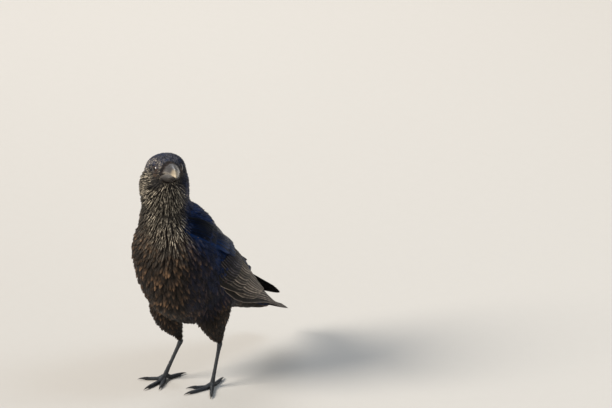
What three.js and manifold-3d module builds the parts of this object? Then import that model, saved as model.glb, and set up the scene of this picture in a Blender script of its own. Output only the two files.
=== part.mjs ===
// A carrion crow, life size, standing tall on two feet with its head turned to its left.
// Millimetres, +Z up. The crow faces -Y, its left side is +X, and its toes rest on z = 0.
// Bodies are lofts: rings of points along a curve, sized by a few named stations.

import * as THREE from "three";
import { mergeVertices } from "three/addons/utils/BufferGeometryUtils.js";
import Module from "manifold-3d";

const wasm = await Module();
wasm.setup();

// Driving dimensions
const GAP = 0.3; // clearance between neighbouring solids
const TOE_PAD_HEIGHT = 2.2; // height of a toe's centre line over the floor
const EYE_RADIUS = 6.2;
const HEAD_CENTRE = [4.2, -63, 346.8];
const HEAD_YAW = 47.5; // degrees the bill points to the crow's left
const HEAD_PITCH = 18; // degrees the bill is raised
const FLOOR_BLOCK = 600; // side of the block that trims the soles flat

const vec = ([x, y, z]) => new THREE.Vector3(x, y, z);
const radians = THREE.MathUtils.degToRad;

// Stations and curves

// Reads one value of the stations as a smooth curve, a 3-vector at each share of the way along.
function curveOf(stations, read) {
  return new THREE.CatmullRomCurve3(stations.map((s) => vec(read(s))), false, "centripetal");
}

// The stations' places and sizes at `steps` + 1 even steps of the stations' own count, with the
// two ends moved outwards by `grow`.
function sampled(stations, steps, grow) {
  const path = curveOf(stations, (s) => s.at);
  const sizes = curveOf(stations, (s) => s.half);
  const facing = stations[0].out ? curveOf(stations, (s) => s.out) : null;
  return Array.from({ length: steps + 1 }, (_, i) => {
    const share = i / steps;
    const tangent = path.getTangent(share);
    const outwards = i === 0 ? -grow : i === steps ? grow : 0;
    return {
      centre: path.getPoint(share).addScaledVector(tangent, outwards),
      tangent,
      size: sizes.getPoint(share),
      out: facing ? facing.getPoint(share).normalize() : null,
    };
  });
}

// Rings and solids

// An oval ring: half.x to each side, half.y above and half.z below; squareness 2 is an ellipse.
function ovalRing({ centre, tangent, size }, side, sides, squareness, grow) {
  const across = side.clone().addScaledVector(tangent, -side.dot(tangent)).normalize();
  const above = new THREE.Vector3().crossVectors(tangent, across);
  const power = 2 / squareness;
  return Array.from({ length: sides }, (_, i) => {
    const angle = (2 * Math.PI * i) / sides;
    const c = Math.sign(Math.cos(angle)) * Math.abs(Math.cos(angle)) ** power;
    const s = Math.sign(Math.sin(angle)) * Math.abs(Math.sin(angle)) ** power;
    const height = s > 0 ? size.y : size.z;
    return centre.clone()
      .addScaledVector(across, (size.x + grow) * c)
      .addScaledVector(above, (height + grow) * s);
  });
}

// A blade ring, for a folded wing: an arc bowed outwards, with half.x as its half width,
// half.y as its bow radius and half.z as its thickness, thinnest at its two edges.
function bladeRing({ centre, tangent, size, out }, arcSteps, grow) {
  const THIN_EDGE = 0.3;
  const normal = out.clone().addScaledVector(tangent, -out.dot(tangent)).normalize();
  const across = new THREE.Vector3().crossVectors(tangent, normal);
  const reach = (size.x + grow) / size.y;
  const outer = [];
  const inner = [];
  for (let i = 0; i <= arcSteps; i++) {
    const along = (2 * i) / arcSteps - 1;
    const angle = reach * along;
    const rise = normal.clone().multiplyScalar(Math.cos(angle)).addScaledVector(across, Math.sin(angle));
    const thick = size.z * Math.max(THIN_EDGE, Math.sqrt(1 - along * along));
    const foot = centre.clone().addScaledVector(normal, -size.y);
    outer.push(foot.clone().addScaledVector(rise, size.y + grow));
    inner.push(foot.clone().addScaledVector(rise, size.y - thick - grow));
  }
  return [...outer, ...inner.reverse()];
}

// Closes a stack of equal rings into a solid, with a point at the middle of each end.
function loft(rings) {
  const sides = rings[0].length;
  const points = rings.flat();
  const middle = (ring) =>
    ring.reduce((sum, p) => sum.add(p), new THREE.Vector3()).divideScalar(ring.length);
  const first = points.push(middle(rings[0])) - 1;
  const last = points.push(middle(rings.at(-1))) - 1;
  const faces = [];
  for (let j = 0; j < sides; j++) {
    const k = (j + 1) % sides;
    faces.push([first, k, j]);
    for (let i = 0; i + 1 < rings.length; i++) {
      const a = i * sides;
      const b = a + sides;
      faces.push([a + j, a + k, b + k], [a + j, b + k, b + j]);
    }
    const end = (rings.length - 1) * sides;
    faces.push([last, end + j, end + k]);
  }
  const volume = faces.reduce(
    (sum, [a, b, c]) => sum + points[a].dot(points[b].clone().cross(points[c])), 0);
  if (volume < 0) faces.forEach((f) => f.reverse());
  return new wasm.Manifold(new wasm.Mesh({
    numProp: 3,
    vertProperties: new Float32Array(points.flatMap((p) => p.toArray())),
    triVerts: new Uint32Array(faces.flat()),
  }));
}

// A three.js geometry as a solid.
function solidOf(geometry) {
  geometry.deleteAttribute("normal");
  geometry.deleteAttribute("uv");
  const merged = mergeVertices(geometry, 1e-4);
  return new wasm.Manifold(new wasm.Mesh({
    numProp: 3,
    vertProperties: merged.attributes.position.array,
    triVerts: new Uint32Array(merged.index.array),
  }));
}

const X_AXIS = new THREE.Vector3(1, 0, 0);

// An oval loft through the stations, swollen by `grow` all round.
function body(stations, { steps, sides, squareness = 2, side = X_AXIS, grow = 0 }) {
  return loft(
    sampled(stations, steps, grow).map((s) => ovalRing(s, side, sides, squareness, grow)));
}

// A blade loft through the stations, swollen by `grow` all round.
function blade(stations, { steps, arcSteps, grow = 0 }) {
  return loft(sampled(stations, steps, grow).map((s) => bladeRing(s, arcSteps, grow)));
}

// The largest of a cut solid's pieces.
function largest(solid) {
  return solid.decompose().reduce((a, b) => (a.volume() > b.volume() ? a : b));
}

// Trunk and neck: half = [to each side, towards the back, towards the belly]

const TRUNK = [
  { at: [0, 148, 82], half: [12, 3, 5] },
  { at: [0, 134, 94], half: [19, 6, 13] },
  { at: [0, 113, 112], half: [28, 14, 26] },
  { at: [0, 83, 135], half: [41, 29, 43] },
  { at: [0, 53, 155], half: [52, 43, 62] },
  { at: [0, 18, 173], half: [59, 56, 79] },
  { at: [0.5, -12, 191], half: [61.5, 62, 81.5] },
  { at: [0.5, -36, 218], half: [63, 67, 69] },
  { at: [1.5, -47, 248], half: [58.5, 61.5, 55.5] },
  { at: [0, -57, 276], half: [39.5, 45, 42] },
  { at: [1, -62, 300], half: [32.5, 35.5, 34.5] },
  { at: [2.2, -65, 322], half: [35, 35.5, 35.5] },
  { at: [1.8, -65.5, 342], half: [34, 33.5, 32.5] },
  { at: [1, -68, 356], half: [20, 20, 18] },
];
const NECK_CUT = { at: [0, -52, 268], up: [0, -0.2, 1] }; // the plane where the trunk ends

// Head and bill, in the head's own frame: -Y along the bill, +X to the crow's left

const headPose = new THREE.Matrix4().compose(
  vec(HEAD_CENTRE),
  new THREE.Quaternion().setFromEuler(
    new THREE.Euler(radians(-HEAD_PITCH), 0, radians(HEAD_YAW), "ZYX")),
  new THREE.Vector3(1, 1, 1));
const posed = (solid) => solid.transform(headPose.elements);
const HEAD_SWELL = 1.013; // a head this much larger clears its neighbours by about GAP
const swollenPose = headPose.clone().scale(new THREE.Vector3(HEAD_SWELL, HEAD_SWELL, HEAD_SWELL));

const HEAD = [
  { at: [0, 37, -8], half: [5, 4, 4] },
  { at: [0, 33, -8], half: [16, 14, 14] },
  { at: [0, 22, -5], half: [25.5, 23, 24] },
  { at: [0, 5, -1], half: [29.5, 26, 28.5] },
  { at: [0, -10, 0], half: [26, 24.5, 27] },
  { at: [0, -22, 0.5], half: [20.5, 19.5, 21] },
  { at: [0, -32, 1], half: [15, 15, 15] },
  { at: [0, -40, 1], half: [9.5, 11.5, 9.5] },
];
const EYE_AT = [16.2, -17.5, 4]; // the left eye; the right one is its mirror image

const BILL_ROOT = -22; // where the bill starts inside the head
const BILL_UPPER = [
  { at: [0, BILL_ROOT, 1], half: [13.4, 13, 1.5] },
  { at: [0, -40, 0.5], half: [13, 12.6, 1.5] },
  { at: [0, -56, 0], half: [11, 11.2, 1.5] },
  { at: [0, -70, -1], half: [8.2, 8.8, 1.6] },
  { at: [0, -80, -2.8], half: [5.2, 5.8, 1.7] },
  { at: [0, -88, -6.6], half: [1.4, 2, 1.2] },
];
const BILL_LOWER = [
  { at: [0, BILL_ROOT, -1], half: [12.7, 1, 11.8] },
  { at: [0, -42, -1.6], half: [12, 1, 11] },
  { at: [0, -58, -2], half: [9.7, 1, 9] },
  { at: [0, -72, -3], half: [6.6, 1, 5.8] },
  { at: [0, -82, -4.6], half: [2.1, 0.6, 1.4] },
];

// Wings: half = [half width, bow radius, thickness]; `out` faces away from the body

const FOLDED_WING = [
  { at: [50, -37, 243], out: [0.88, -0.4, 0.25], half: [14, 50, 5] },
  { at: [56.5, -22, 228], out: [0.94, -0.2, 0.28], half: [28, 52, 9] },
  { at: [63, 3, 206], out: [0.96, 0, 0.3], half: [37, 54, 12] },
  { at: [58.5, 41, 175], out: [0.91, 0.14, 0.4], half: [35, 56, 11] },
  { at: [44, 85, 144], out: [0.78, 0.28, 0.56], half: [24, 58, 8.5] },
  { at: [30.5, 126, 111], out: [0.5, 0.42, 0.76], half: [16.5, 60, 5.5] },
  { at: [22, 162, 80.5], out: [0.24, 0.48, 0.84], half: [13.5, 60, 3.6] },
  { at: [16.5, 197, 58.5], out: [0.1, 0.5, 0.86], half: [7.5, 60, 2.2] },
];
// The right wing is folded loosely: it is lifted off the tail and its tip stands more upright.
const LOOSE_LIFT = [0, 0, 3, 11, 18, 20, 21, 19];
const LOOSE_INWARD = [0, 0, 0, 3, 7, 9, 13, 18];
const LOOSE_TIP_OUT = [-0.7, 0.3, 0.6];
const LOOSE_TURN = [0, 0, 0, 0, 0.2, 0.6, 0.9, 1]; // how far each station turns that way
const LOOSE_WIDER = [0, 0, 0, 0, 0, 0, 2, 4.5];

const mirrored = (stations) =>
  stations.map((s) => ({ ...s, at: [-s.at[0], s.at[1], s.at[2]], out: [-s.out[0], s.out[1], s.out[2]] }));
const loosened = (stations) =>
  stations.map((s, i) => ({
    ...s,
    at: [s.at[0] + LOOSE_INWARD[i], s.at[1], s.at[2] + LOOSE_LIFT[i]],
    out: vec(s.out).lerp(vec(LOOSE_TIP_OUT), LOOSE_TURN[i]).toArray(),
    half: [s.half[0] + LOOSE_WIDER[i], s.half[1], s.half[2]],
  }));

// Tail: a shallow fan, square at its end with rounded corners

const TAIL = [
  { at: [0, 92, 104.5], half: [12, 3, 3] },
  { at: [0, 130, 86], half: [17, 2.6, 2.6] },
  { at: [0, 162, 71], half: [22, 1.8, 1.8] },
  { at: [0, 185, 60.5], half: [25.5, 1.3, 1.3] },
  { at: [0, 196, 55.5], half: [24, 0.9, 0.9] },
  { at: [0, 201, 53], half: [16, 0.6, 0.6] },
];

// Legs. Each side's joints stand where the crow's weight puts them.

const LEGS = {
  left: {
    heel: [31, 18, 67],
    ankle: [24, 9, 8],
    thigh: [
      { at: [32, 4, 150], half: [24, 34, 34] },
      { at: [33, 2, 118], half: [22, 30, 30] },
      { at: [31, 6, 98], half: [16, 21, 21] },
      { at: [31, 12, 80], half: [9.5, 11, 11] },
      { at: [31, 17, 69], half: [5.2, 5.6, 5.6] },
      { at: [31, 18, 64], half: [3.6, 3.8, 3.8] },
    ],
    toes: { inner: -46, middle: -20, outer: 34, hind: 190 },
  },
  right: {
    heel: [-25, 0, 62],
    ankle: [-46, -9, 8],
    thigh: [
      { at: [-32, -10, 150], half: [27, 36, 36] },
      { at: [-34, -14, 118], half: [25, 33, 33] },
      { at: [-31, -12, 96], half: [17, 23, 23] },
      { at: [-27, -5, 77], half: [8.5, 9.5, 9.5] },
      { at: [-25, -1, 65], half: [5, 5.2, 5.2] },
      { at: [-25.5, -0.5, 60], half: [3.6, 3.8, 3.8] },
    ],
    toes: { inner: 24, middle: -2, outer: -53, hind: 161 },
  },
};
// A toe's length without its claw, and its radius at the root
const TOES = {
  inner: { length: 27, radius: 2.9 },
  middle: { length: 37, radius: 3.1 },
  outer: { length: 29, radius: 2.8 },
  hind: { length: 25, radius: 3.2 },
};
const CLAW_LENGTH = 12;

// The shank, from the heel joint to the ankle, flattened a little from side to side.
function shank({ heel, ankle }, grow = 0) {
  const along = (share) => vec(heel).lerp(vec(ankle), share).toArray();
  return body([
    { at: along(-0.06), half: [2.6, 2.8, 2.8] },
    { at: along(0.02), half: [3.6, 4.2, 4] },
    { at: along(0.14), half: [2.6, 3, 3] },
    { at: along(0.5), half: [2.2, 2.5, 2.5] },
    { at: along(0.86), half: [2.5, 2.8, 2.8] },
    { at: along(1.02), half: [3.8, 3.8, 4] },
  ], { steps: 9, sides: 8, grow });
}

// A point on a toe's path: `out` along the floor from the ankle, at the given height.
function toePoint(ankle, heading, out, height) {
  const angle = radians(heading);
  return [ankle[0] + out * Math.sin(angle), ankle[1] - out * Math.cos(angle), height];
}

function toe({ ankle, toes }, name, grow = 0) {
  const { length, radius } = TOES[name];
  const at = (out, height) => toePoint(ankle, toes[name], out, height);
  const round = (r) => [r, r * 0.9, r];
  return body([
    { at: at(1.5, ankle[2] - 1), half: round(radius) },
    { at: at(length * 0.14, ankle[2] * 0.66), half: round(radius) },
    { at: at(length * 0.34, TOE_PAD_HEIGHT), half: round(radius) },
    { at: at(length * 0.55, TOE_PAD_HEIGHT * 0.96), half: round(radius * 0.9) },
    { at: at(length * 0.78, TOE_PAD_HEIGHT * 0.9), half: round(radius * 0.9) },
    { at: at(length, TOE_PAD_HEIGHT * 0.95), half: round(radius * 0.72) },
  ], { steps: 7, sides: 8, grow });
}

// A claw: a curved spike that springs from the toe's end and points down at the floor.
function claw({ ankle, toes }, name) {
  const { length, radius } = TOES[name];
  const root = length - 1.5;
  const at = (share, height) => toePoint(ankle, toes[name], root + CLAW_LENGTH * share, height);
  const round = (r) => [r * 0.8, r, r];
  return body([
    { at: at(0, TOE_PAD_HEIGHT * 1.05), half: round(radius * 0.6) },
    { at: at(0.35, TOE_PAD_HEIGHT * 1.45), half: round(radius * 0.56) },
    { at: at(0.7, TOE_PAD_HEIGHT * 1.2), half: round(radius * 0.4) },
    { at: at(1, 0.8), half: round(0.3) },
  ], { steps: 5, sides: 6 });
}

// Building and parting the solids

const TRUNK_DETAIL = { steps: 21, sides: 22 };
const HEAD_DETAIL = { steps: 13, sides: 20, squareness: 2.2 };
const WING_DETAIL = { steps: 15, arcSteps: 8 };
const THIGH_DETAIL = { steps: 9, sides: 12 };
const BILL_DETAIL = { steps: 10, sides: 12 };
const TAIL_DETAIL = { steps: 10, sides: 12, squareness: 2.6 };

const ball = (radius, [x, y, z]) =>
  solidOf(new THREE.SphereGeometry(radius, 12, 8).translate(x, y, z));
const aboveFloor = solidOf(
  new THREE.BoxGeometry(FLOOR_BLOCK, FLOOR_BLOCK, FLOOR_BLOCK).translate(0, 0, FLOOR_BLOCK / 2));
const rightEyeAt = [-EYE_AT[0], EYE_AT[1], EYE_AT[2]];

const solids = new Map();

function addFlesh() {
  const wings = {
    left: FOLDED_WING,
    right: loosened(mirrored(FOLDED_WING)),
  };
  const whole = body(TRUNK, TRUNK_DETAIL);
  const swollen = body(TRUNK, { ...TRUNK_DETAIL, grow: GAP });
  const skull = body(HEAD, HEAD_DETAIL);
  const swollenHead = skull.transform(swollenPose.elements);

  let trunk = whole;
  for (const [side, stations] of Object.entries(wings)) {
    solids.set(`wing_${side}`, blade(stations, WING_DETAIL));
    trunk = trunk.subtract(blade(stations, { ...WING_DETAIL, grow: GAP }));
  }
  const tail = body(TAIL, TAIL_DETAIL);
  trunk = trunk.subtract(body(TAIL, { ...TAIL_DETAIL, grow: GAP }));
  solids.set("tail", largest(tail
    .subtract(blade(wings.left, { ...WING_DETAIL, grow: GAP }))
    .subtract(blade(wings.right, { ...WING_DETAIL, grow: GAP }))));

  const up = vec(NECK_CUT.up).normalize();
  const level = vec(NECK_CUT.at).dot(up);
  const [above] = whole.splitByPlane(up.toArray(), level + GAP / 2);
  const [, below] = trunk.splitByPlane(up.toArray(), level - GAP / 2);
  solids.set("neck", largest(above.subtract(swollenHead).subtract(
    blade(wings.left, { ...WING_DETAIL, grow: GAP })).subtract(
    blade(wings.right, { ...WING_DETAIL, grow: GAP }))));
  solids.set("trunk", largest(below));

  for (const [side, leg] of Object.entries(LEGS)) {
    const whole = body(leg.thigh, THIGH_DETAIL).subtract(swollen);
    const wing = blade(wings[side], { ...WING_DETAIL, grow: GAP });
    solids.set(`thigh_${side}`, largest(whole.subtract(wing).subtract(shank(leg, GAP))));
  }

  solids.set("head", posed(skull)
    .subtract(posed(ball(EYE_RADIUS + GAP, EYE_AT)))
    .subtract(posed(ball(EYE_RADIUS + GAP, rightEyeAt))));
  solids.set("eye_left", posed(ball(EYE_RADIUS, EYE_AT)));
  solids.set("eye_right", posed(ball(EYE_RADIUS, rightEyeAt)));
  const upper = posed(body(BILL_UPPER, BILL_DETAIL));
  const swollenUpper = posed(body(BILL_UPPER, { ...BILL_DETAIL, grow: GAP }));
  const lower = posed(body(BILL_LOWER, BILL_DETAIL));
  solids.set("bill_upper", largest(upper.subtract(swollenHead)));
  solids.set("bill_lower", largest(lower.subtract(swollenUpper).subtract(swollenHead)));
}

function addFeet() {
  for (const [side, leg] of Object.entries(LEGS)) {
    solids.set(`shank_${side}`, shank(leg));
    let taken = shank(leg, GAP);
    for (const name of Object.keys(TOES)) {
      const sole = largest(toe(leg, name).subtract(taken).intersect(aboveFloor));
      solids.set(`toe_${side}_${name}`, sole);
      taken = taken.add(toe(leg, name, GAP));
      solids.set(`claw_${side}_${name}`, largest(claw(leg, name).subtract(toe(leg, name, GAP))));
    }
  }
}

addFlesh();
addFeet();

// Materials

const material = (color, roughness) => new THREE.MeshStandardMaterial({ color, roughness, metalness: 0 });
const MATERIALS = {
  plumage: material(0x17161a, 0.6),
  flight: material(0x121419, 0.45),
  bill: material(0x1c1c1e, 0.4),
  eye: material(0x140d09, 0.08),
  scales: material(0x151515, 0.5),
  claw: material(0x0e0e0e, 0.35),
};
const MATERIAL_OF = {
  wing: MATERIALS.flight,
  tail: MATERIALS.flight,
  bill: MATERIALS.bill,
  eye: MATERIALS.eye,
  shank: MATERIALS.scales,
  toe: MATERIALS.scales,
  claw: MATERIALS.claw,
};

// Meshes

function meshOf(name, solid) {
  const { vertProperties, triVerts } = solid.getMesh();
  const geometry = new THREE.BufferGeometry()
    .setAttribute("position", new THREE.BufferAttribute(vertProperties, 3))
    .setIndex(new THREE.BufferAttribute(triVerts, 1));
  geometry.computeVertexNormals();
  const mesh = new THREE.Mesh(geometry, MATERIAL_OF[name.split("_")[0]] ?? MATERIALS.plumage);
  mesh.name = name;
  return mesh;
}

const crow = new THREE.Group();
for (const [name, solid] of solids) crow.add(meshOf(name, solid));

// The origin is on the floor, under the middle of the crow's box.
const middle = new THREE.Box3().setFromObject(crow).getCenter(new THREE.Vector3());
crow.position.set(-middle.x, -middle.y, 0);

export default crow;
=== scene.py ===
"""A carrion crow, life size and standing: its skin, coat, flight feathers, bill, eyes and feet."""

import heapq
import math

import bmesh
import bpy
import numpy as np
from bpy.props import FloatProperty, FloatVectorProperty, IntProperty, PointerProperty
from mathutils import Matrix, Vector, noise
from mathutils.bvhtree import BVHTree
from mathutils.kdtree import KDTree


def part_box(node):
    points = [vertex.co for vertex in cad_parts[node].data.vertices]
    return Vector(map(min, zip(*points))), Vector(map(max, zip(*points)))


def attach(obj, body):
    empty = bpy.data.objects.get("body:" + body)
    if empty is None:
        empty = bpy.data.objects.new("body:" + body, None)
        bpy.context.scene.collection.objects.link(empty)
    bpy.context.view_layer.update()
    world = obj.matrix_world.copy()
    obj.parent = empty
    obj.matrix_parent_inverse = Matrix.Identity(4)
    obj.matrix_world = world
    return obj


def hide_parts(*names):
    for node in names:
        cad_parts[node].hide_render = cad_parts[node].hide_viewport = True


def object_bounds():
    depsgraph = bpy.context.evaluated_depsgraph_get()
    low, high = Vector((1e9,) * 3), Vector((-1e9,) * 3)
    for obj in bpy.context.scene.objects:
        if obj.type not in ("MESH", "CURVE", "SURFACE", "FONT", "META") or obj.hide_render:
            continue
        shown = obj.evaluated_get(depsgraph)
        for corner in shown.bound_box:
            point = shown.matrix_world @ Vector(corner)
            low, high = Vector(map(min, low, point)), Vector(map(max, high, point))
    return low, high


bl_info = {
    "name": "Carrion crow",
    "version": (1, 0, 0),
    "blender": (4, 5, 0),
    "location": "3D View > Sidebar > Crow",
    "description": "Dresses the crow's solids with skin, feathers, bill, eyes and feet",
    "category": "Object",
}

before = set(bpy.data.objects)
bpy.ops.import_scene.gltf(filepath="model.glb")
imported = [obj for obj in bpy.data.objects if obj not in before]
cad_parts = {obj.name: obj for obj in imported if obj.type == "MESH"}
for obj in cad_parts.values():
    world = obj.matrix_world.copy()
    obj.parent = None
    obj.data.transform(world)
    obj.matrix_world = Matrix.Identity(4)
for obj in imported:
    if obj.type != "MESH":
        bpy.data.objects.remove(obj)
CAD_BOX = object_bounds()

MM = 0.001
SIDES = ("left", "right")
AWAY = {"left": 1.0, "right": -1.0}  # which way a side lies, along the crow's left
TOES = ("inner", "middle", "outer", "hind")
FLESH = ("trunk", "neck", "head", "thigh_left", "thigh_right", "wing_left", "wing_right")
LEVEL = np.array([1.0, 1.0, 0.0])  # keeps only the level part of a direction
UPRIGHT = np.array([0.0, 0.0, 1.0])
DOWN = (0.0, 0.0, -1.0)

# Where each piece's random draws start
SEEDS = {
    "primaries": 21, "secondaries": 22, "greater_coverts": 23, "median_coverts": 24,
    "hand_coverts": 25, "scapulars": 26, "tail_feathers": 31, "tail_coverts": 32,
    "undertail_coverts": 33, "bristles": 41, "scutes": 51}

# --- Small helpers ---------------------------------------------------------------------------


def unit(vectors):
    """The vectors with length 1, along the last axis."""
    vectors = np.asarray(vectors, float)
    return vectors / np.maximum(np.linalg.norm(vectors, axis=-1, keepdims=True), 1e-12)


def dot(a, b):
    return np.sum(a * b, axis=-1, keepdims=True)


def distance_to(spot, places):
    """How far each place is from the spot."""
    return np.linalg.norm(places - spot, axis=1)


def chance_for(name):
    return np.random.default_rng(SEEDS[name])


def ramp(low, high, value):
    """0 below low, 1 above high and a smooth step between."""
    share = np.clip((value - low) / (high - low), 0, 1)
    return share * share * (3 - 2 * share)


def read(items, field, width, kind=np.float32):
    """One property of all a mesh's corners, edges or the like: an array with a row for each."""
    flat = np.empty(len(items) * width, kind)
    items.foreach_get(field, flat)
    return flat.reshape(-1, width)


def corners_of(piece):
    """The places of a piece's corners."""
    return read(piece.data.vertices, "co", 3).astype(float)


def points_of(node):
    """The places of a CAD node's corners."""
    return corners_of(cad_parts[node])


def move_corners(piece, points):
    piece.data.vertices.foreach_set("co", points.astype(np.float32).ravel())
    piece.data.update()


def middle_of(node):
    low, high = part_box(node)
    return np.array((low + high) / 2)


def cast(tree, place, way):
    """Where a ray from the place first meets the tree's mesh, or None."""
    hit = tree.ray_cast(Vector(place), Vector(way))[0]
    return None if hit is None else np.array(hit)


def tree_of(mesh):
    """A tree of a mesh's faces, which finds what a ray meets and what is nearest."""
    return BVHTree.FromPolygons(
        [v.co for v in mesh.vertices], [tuple(p.vertices) for p in mesh.polygons])


def deselect():
    if bpy.context.object and bpy.context.object.mode != "OBJECT":
        bpy.ops.object.mode_set(mode="OBJECT")
    bpy.ops.object.select_all(action="DESELECT")


def activate(piece):
    deselect()
    piece.select_set(True)
    bpy.context.view_layer.objects.active = piece


def edit_all(piece, edit, **options):
    """Runs one mesh operator on all of a piece, in edit mode."""
    activate(piece)
    bpy.ops.object.mode_set(mode="EDIT")
    bpy.ops.mesh.select_all(action="SELECT")
    edit(**options)
    bpy.ops.object.mode_set(mode="OBJECT")


def apply_modifier(piece, kind, **values):
    """Adds one modifier to the piece, sets it and applies it."""
    activate(piece)
    modifier = piece.modifiers.new(kind.title(), kind)
    for name, value in values.items():
        setattr(modifier, name, value)
    bpy.ops.object.modifier_apply(modifier=modifier.name)


def joined_copy(name, nodes):
    """One object that holds copies of the nodes' meshes, with their doubles merged."""
    shape = bmesh.new()
    for node in nodes:
        shape.from_mesh(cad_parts[node].data)
    bmesh.ops.remove_doubles(shape, verts=shape.verts, dist=1e-6)
    mesh = bpy.data.meshes.new(name)
    shape.to_mesh(mesh)
    shape.free()
    mesh.materials.clear()
    copy = bpy.data.objects.new(name, mesh)
    bpy.context.collection.objects.link(copy)
    return copy


def finish_piece(piece, material, replaced=()):
    """Gives a piece its finish, its place in the crow and the nodes that it stands for."""
    piece.data.materials.clear()
    piece.data.materials.append(material)
    piece.data.polygons.foreach_set("use_smooth", np.ones(len(piece.data.polygons), bool))
    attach(piece, "root")
    if replaced:
        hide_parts(*replaced)


def mesh_object(name, points, polygons):
    """An object from corner points and arrays of polygons, each array for one count of corners."""
    mesh = bpy.data.meshes.new(name)
    corners = np.concatenate([p.ravel() for p in polygons])
    sizes = np.concatenate([np.full(len(p), p.shape[1]) for p in polygons])
    mesh.vertices.add(len(points))
    mesh.vertices.foreach_set("co", np.ascontiguousarray(points, np.float32).ravel())
    mesh.loops.add(len(corners))
    mesh.loops.foreach_set("vertex_index", corners.astype(np.int32))
    mesh.polygons.add(len(sizes))
    starts = np.concatenate([[0], np.cumsum(sizes)[:-1]])
    mesh.polygons.foreach_set("loop_start", starts.astype(np.int32))
    mesh.update(calc_edges=True)
    piece = bpy.data.objects.new(name, mesh)
    bpy.context.collection.objects.link(piece)
    return piece


def ringed(name, points, sides):
    """A closed piece from rings of points, each ring of so many, with a cap at both ends."""
    grid = np.arange(len(points)).reshape(-1, sides)
    turned = np.roll(grid, -1, axis=1)
    quads = np.stack([grid[:-1], turned[:-1], turned[1:], grid[1:]], -1).reshape(-1, 4)
    caps = np.stack([grid[0, ::-1], grid[-1]])
    piece = mesh_object(name, points, [quads, caps])
    edit_all(piece, bpy.ops.mesh.normals_make_consistent, inside=False)
    return piece


def vertex_of_loops(mesh):
    return read(mesh.loops, "vertex_index", 1, np.int32).ravel()


def add_map(mesh, name, places):
    """A UV map from one place for each of the mesh's face corners."""
    layer = mesh.uv_layers.new(name=name, do_init=False)
    layer.uv.foreach_set("vector", places.astype(np.float32).ravel())
    return layer


def add_values(mesh, name, values):
    """A value for each corner, which a material reads by its name."""
    attribute = mesh.attributes.new(name, "FLOAT", "POINT")
    attribute.data.foreach_set("value", np.asarray(values, np.float32))


# --- The head's own frame: left, forward and up from the head's middle ---------------------------

EYE_FORWARD = 17.0 * MM  # from the head's middle to the eyes
EYE_UP = 3.5 * MM  # and how far the eyes are over it
TIP_DROOP = math.atan2(10.1, 71.0)  # how far the bill's tip hangs under the head's forward line


def head_axes():
    left_eye = middle_of("eye_left")
    right_eye = middle_of("eye_right")
    between = (left_eye + right_eye) / 2
    left = unit(left_eye - right_eye)
    bill = points_of("bill_upper")
    tip = bill[np.argmax(np.linalg.norm(bill - between, axis=1))]
    ahead = tip - between
    ahead = unit(ahead - left * (ahead @ left))
    above = np.cross(ahead, left)
    forward = math.cos(TIP_DROOP) * ahead + math.sin(TIP_DROOP) * above
    up = np.cross(forward, left)
    middle = between - forward * EYE_FORWARD - up * EYE_UP
    return middle, left, forward, up


HEAD, LEFT, FORWARD, UP = head_axes()


def from_head(left, forward, up):
    """World places for places given in the head's frame, in metres."""
    left, forward, up = np.broadcast_arrays(left, forward, up)
    return HEAD + left[..., None] * LEFT + forward[..., None] * FORWARD + up[..., None] * UP


def to_head(places):
    """Places in the head's frame: left, forward and up, in metres."""
    away = places - HEAD
    return away @ LEFT, away @ FORWARD, away @ UP


# --- Surfaces to lie on ------------------------------------------------------------------------


class Surface:
    """A mesh of triangles that feathers follow: its nearest places, smooth normals and edges."""

    def __init__(self, mesh):
        self.points = read(mesh.vertices, "co", 3).astype(float)
        self.normals = read(mesh.vertices, "normal", 3).astype(float)
        self.triangles = np.array([tuple(p.vertices) for p in mesh.polygons])
        self.edges = read(mesh.edges, "vertices", 2, np.int32)
        self.face_normals = unit(self.normals[self.triangles].mean(axis=1))
        self.tree = BVHTree.FromPolygons(self.points.tolist(), self.triangles.tolist())

    def nearest(self, places):
        """The nearest place, its smooth normal and its triangle, for each place."""
        found = [self.tree.find_nearest(p) for p in places.tolist()]
        spots = np.array([f[0] for f in found])
        faces = np.array([f[2] for f in found])
        return spots, self.face_normals[faces], faces

    def spread(self, values, rounds):
        """Values on the corners, each averaged with its neighbours some rounds over."""
        values = np.array(values, float)
        first, second = self.edges.T
        count = np.bincount(self.edges.ravel(), minlength=len(values)).astype(float)
        shape = (-1,) + (1,) * (values.ndim - 1)
        for _ in range(rounds):
            total = np.zeros_like(values)
            np.add.at(total, first, values[second])
            np.add.at(total, second, values[first])
            values = values / 2 + total / count.reshape(shape) / 2
        return values

    def distances(self, sources):
        """How far each corner is from the sources, along the edges."""
        links = [[] for _ in self.points]
        lengths = np.linalg.norm(self.points[self.edges[:, 0]] - self.points[self.edges[:, 1]], axis=1)
        for (a, b), length in zip(self.edges.tolist(), lengths.tolist()):
            links[a].append((b, length))
            links[b].append((a, length))
        far = [math.inf] * len(links)
        queue = [(0.0, int(s)) for s in sources]
        for _, source in queue:
            far[source] = 0.0
        while queue:
            distance, here = heapq.heappop(queue)
            if distance > far[here]:
                continue
            for other, length in links[here]:
                if distance + length < far[other]:
                    far[other] = distance + length
                    heapq.heappush(queue, (distance + length, other))
        return np.array(far)

    def downhill(self, distance, rounds):
        """The direction in which the distance grows, at each corner, smoothed."""
        first, second = self.edges.T
        along = self.points[second] - self.points[first]
        square = np.maximum(dot(along, along), 1e-12)
        slope = along * (distance[second] - distance[first])[:, None] / square
        total = np.zeros_like(self.points)
        np.add.at(total, first, slope)
        np.add.at(total, second, slope)
        ways = unit(total - self.normals * dot(total, self.normals))
        ways = self.spread(ways, rounds)
        return unit(ways - self.normals * dot(ways, self.normals))


# --- Vanes: the closed, thin blades that make each feather, bristle and scute -----------------------


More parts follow.
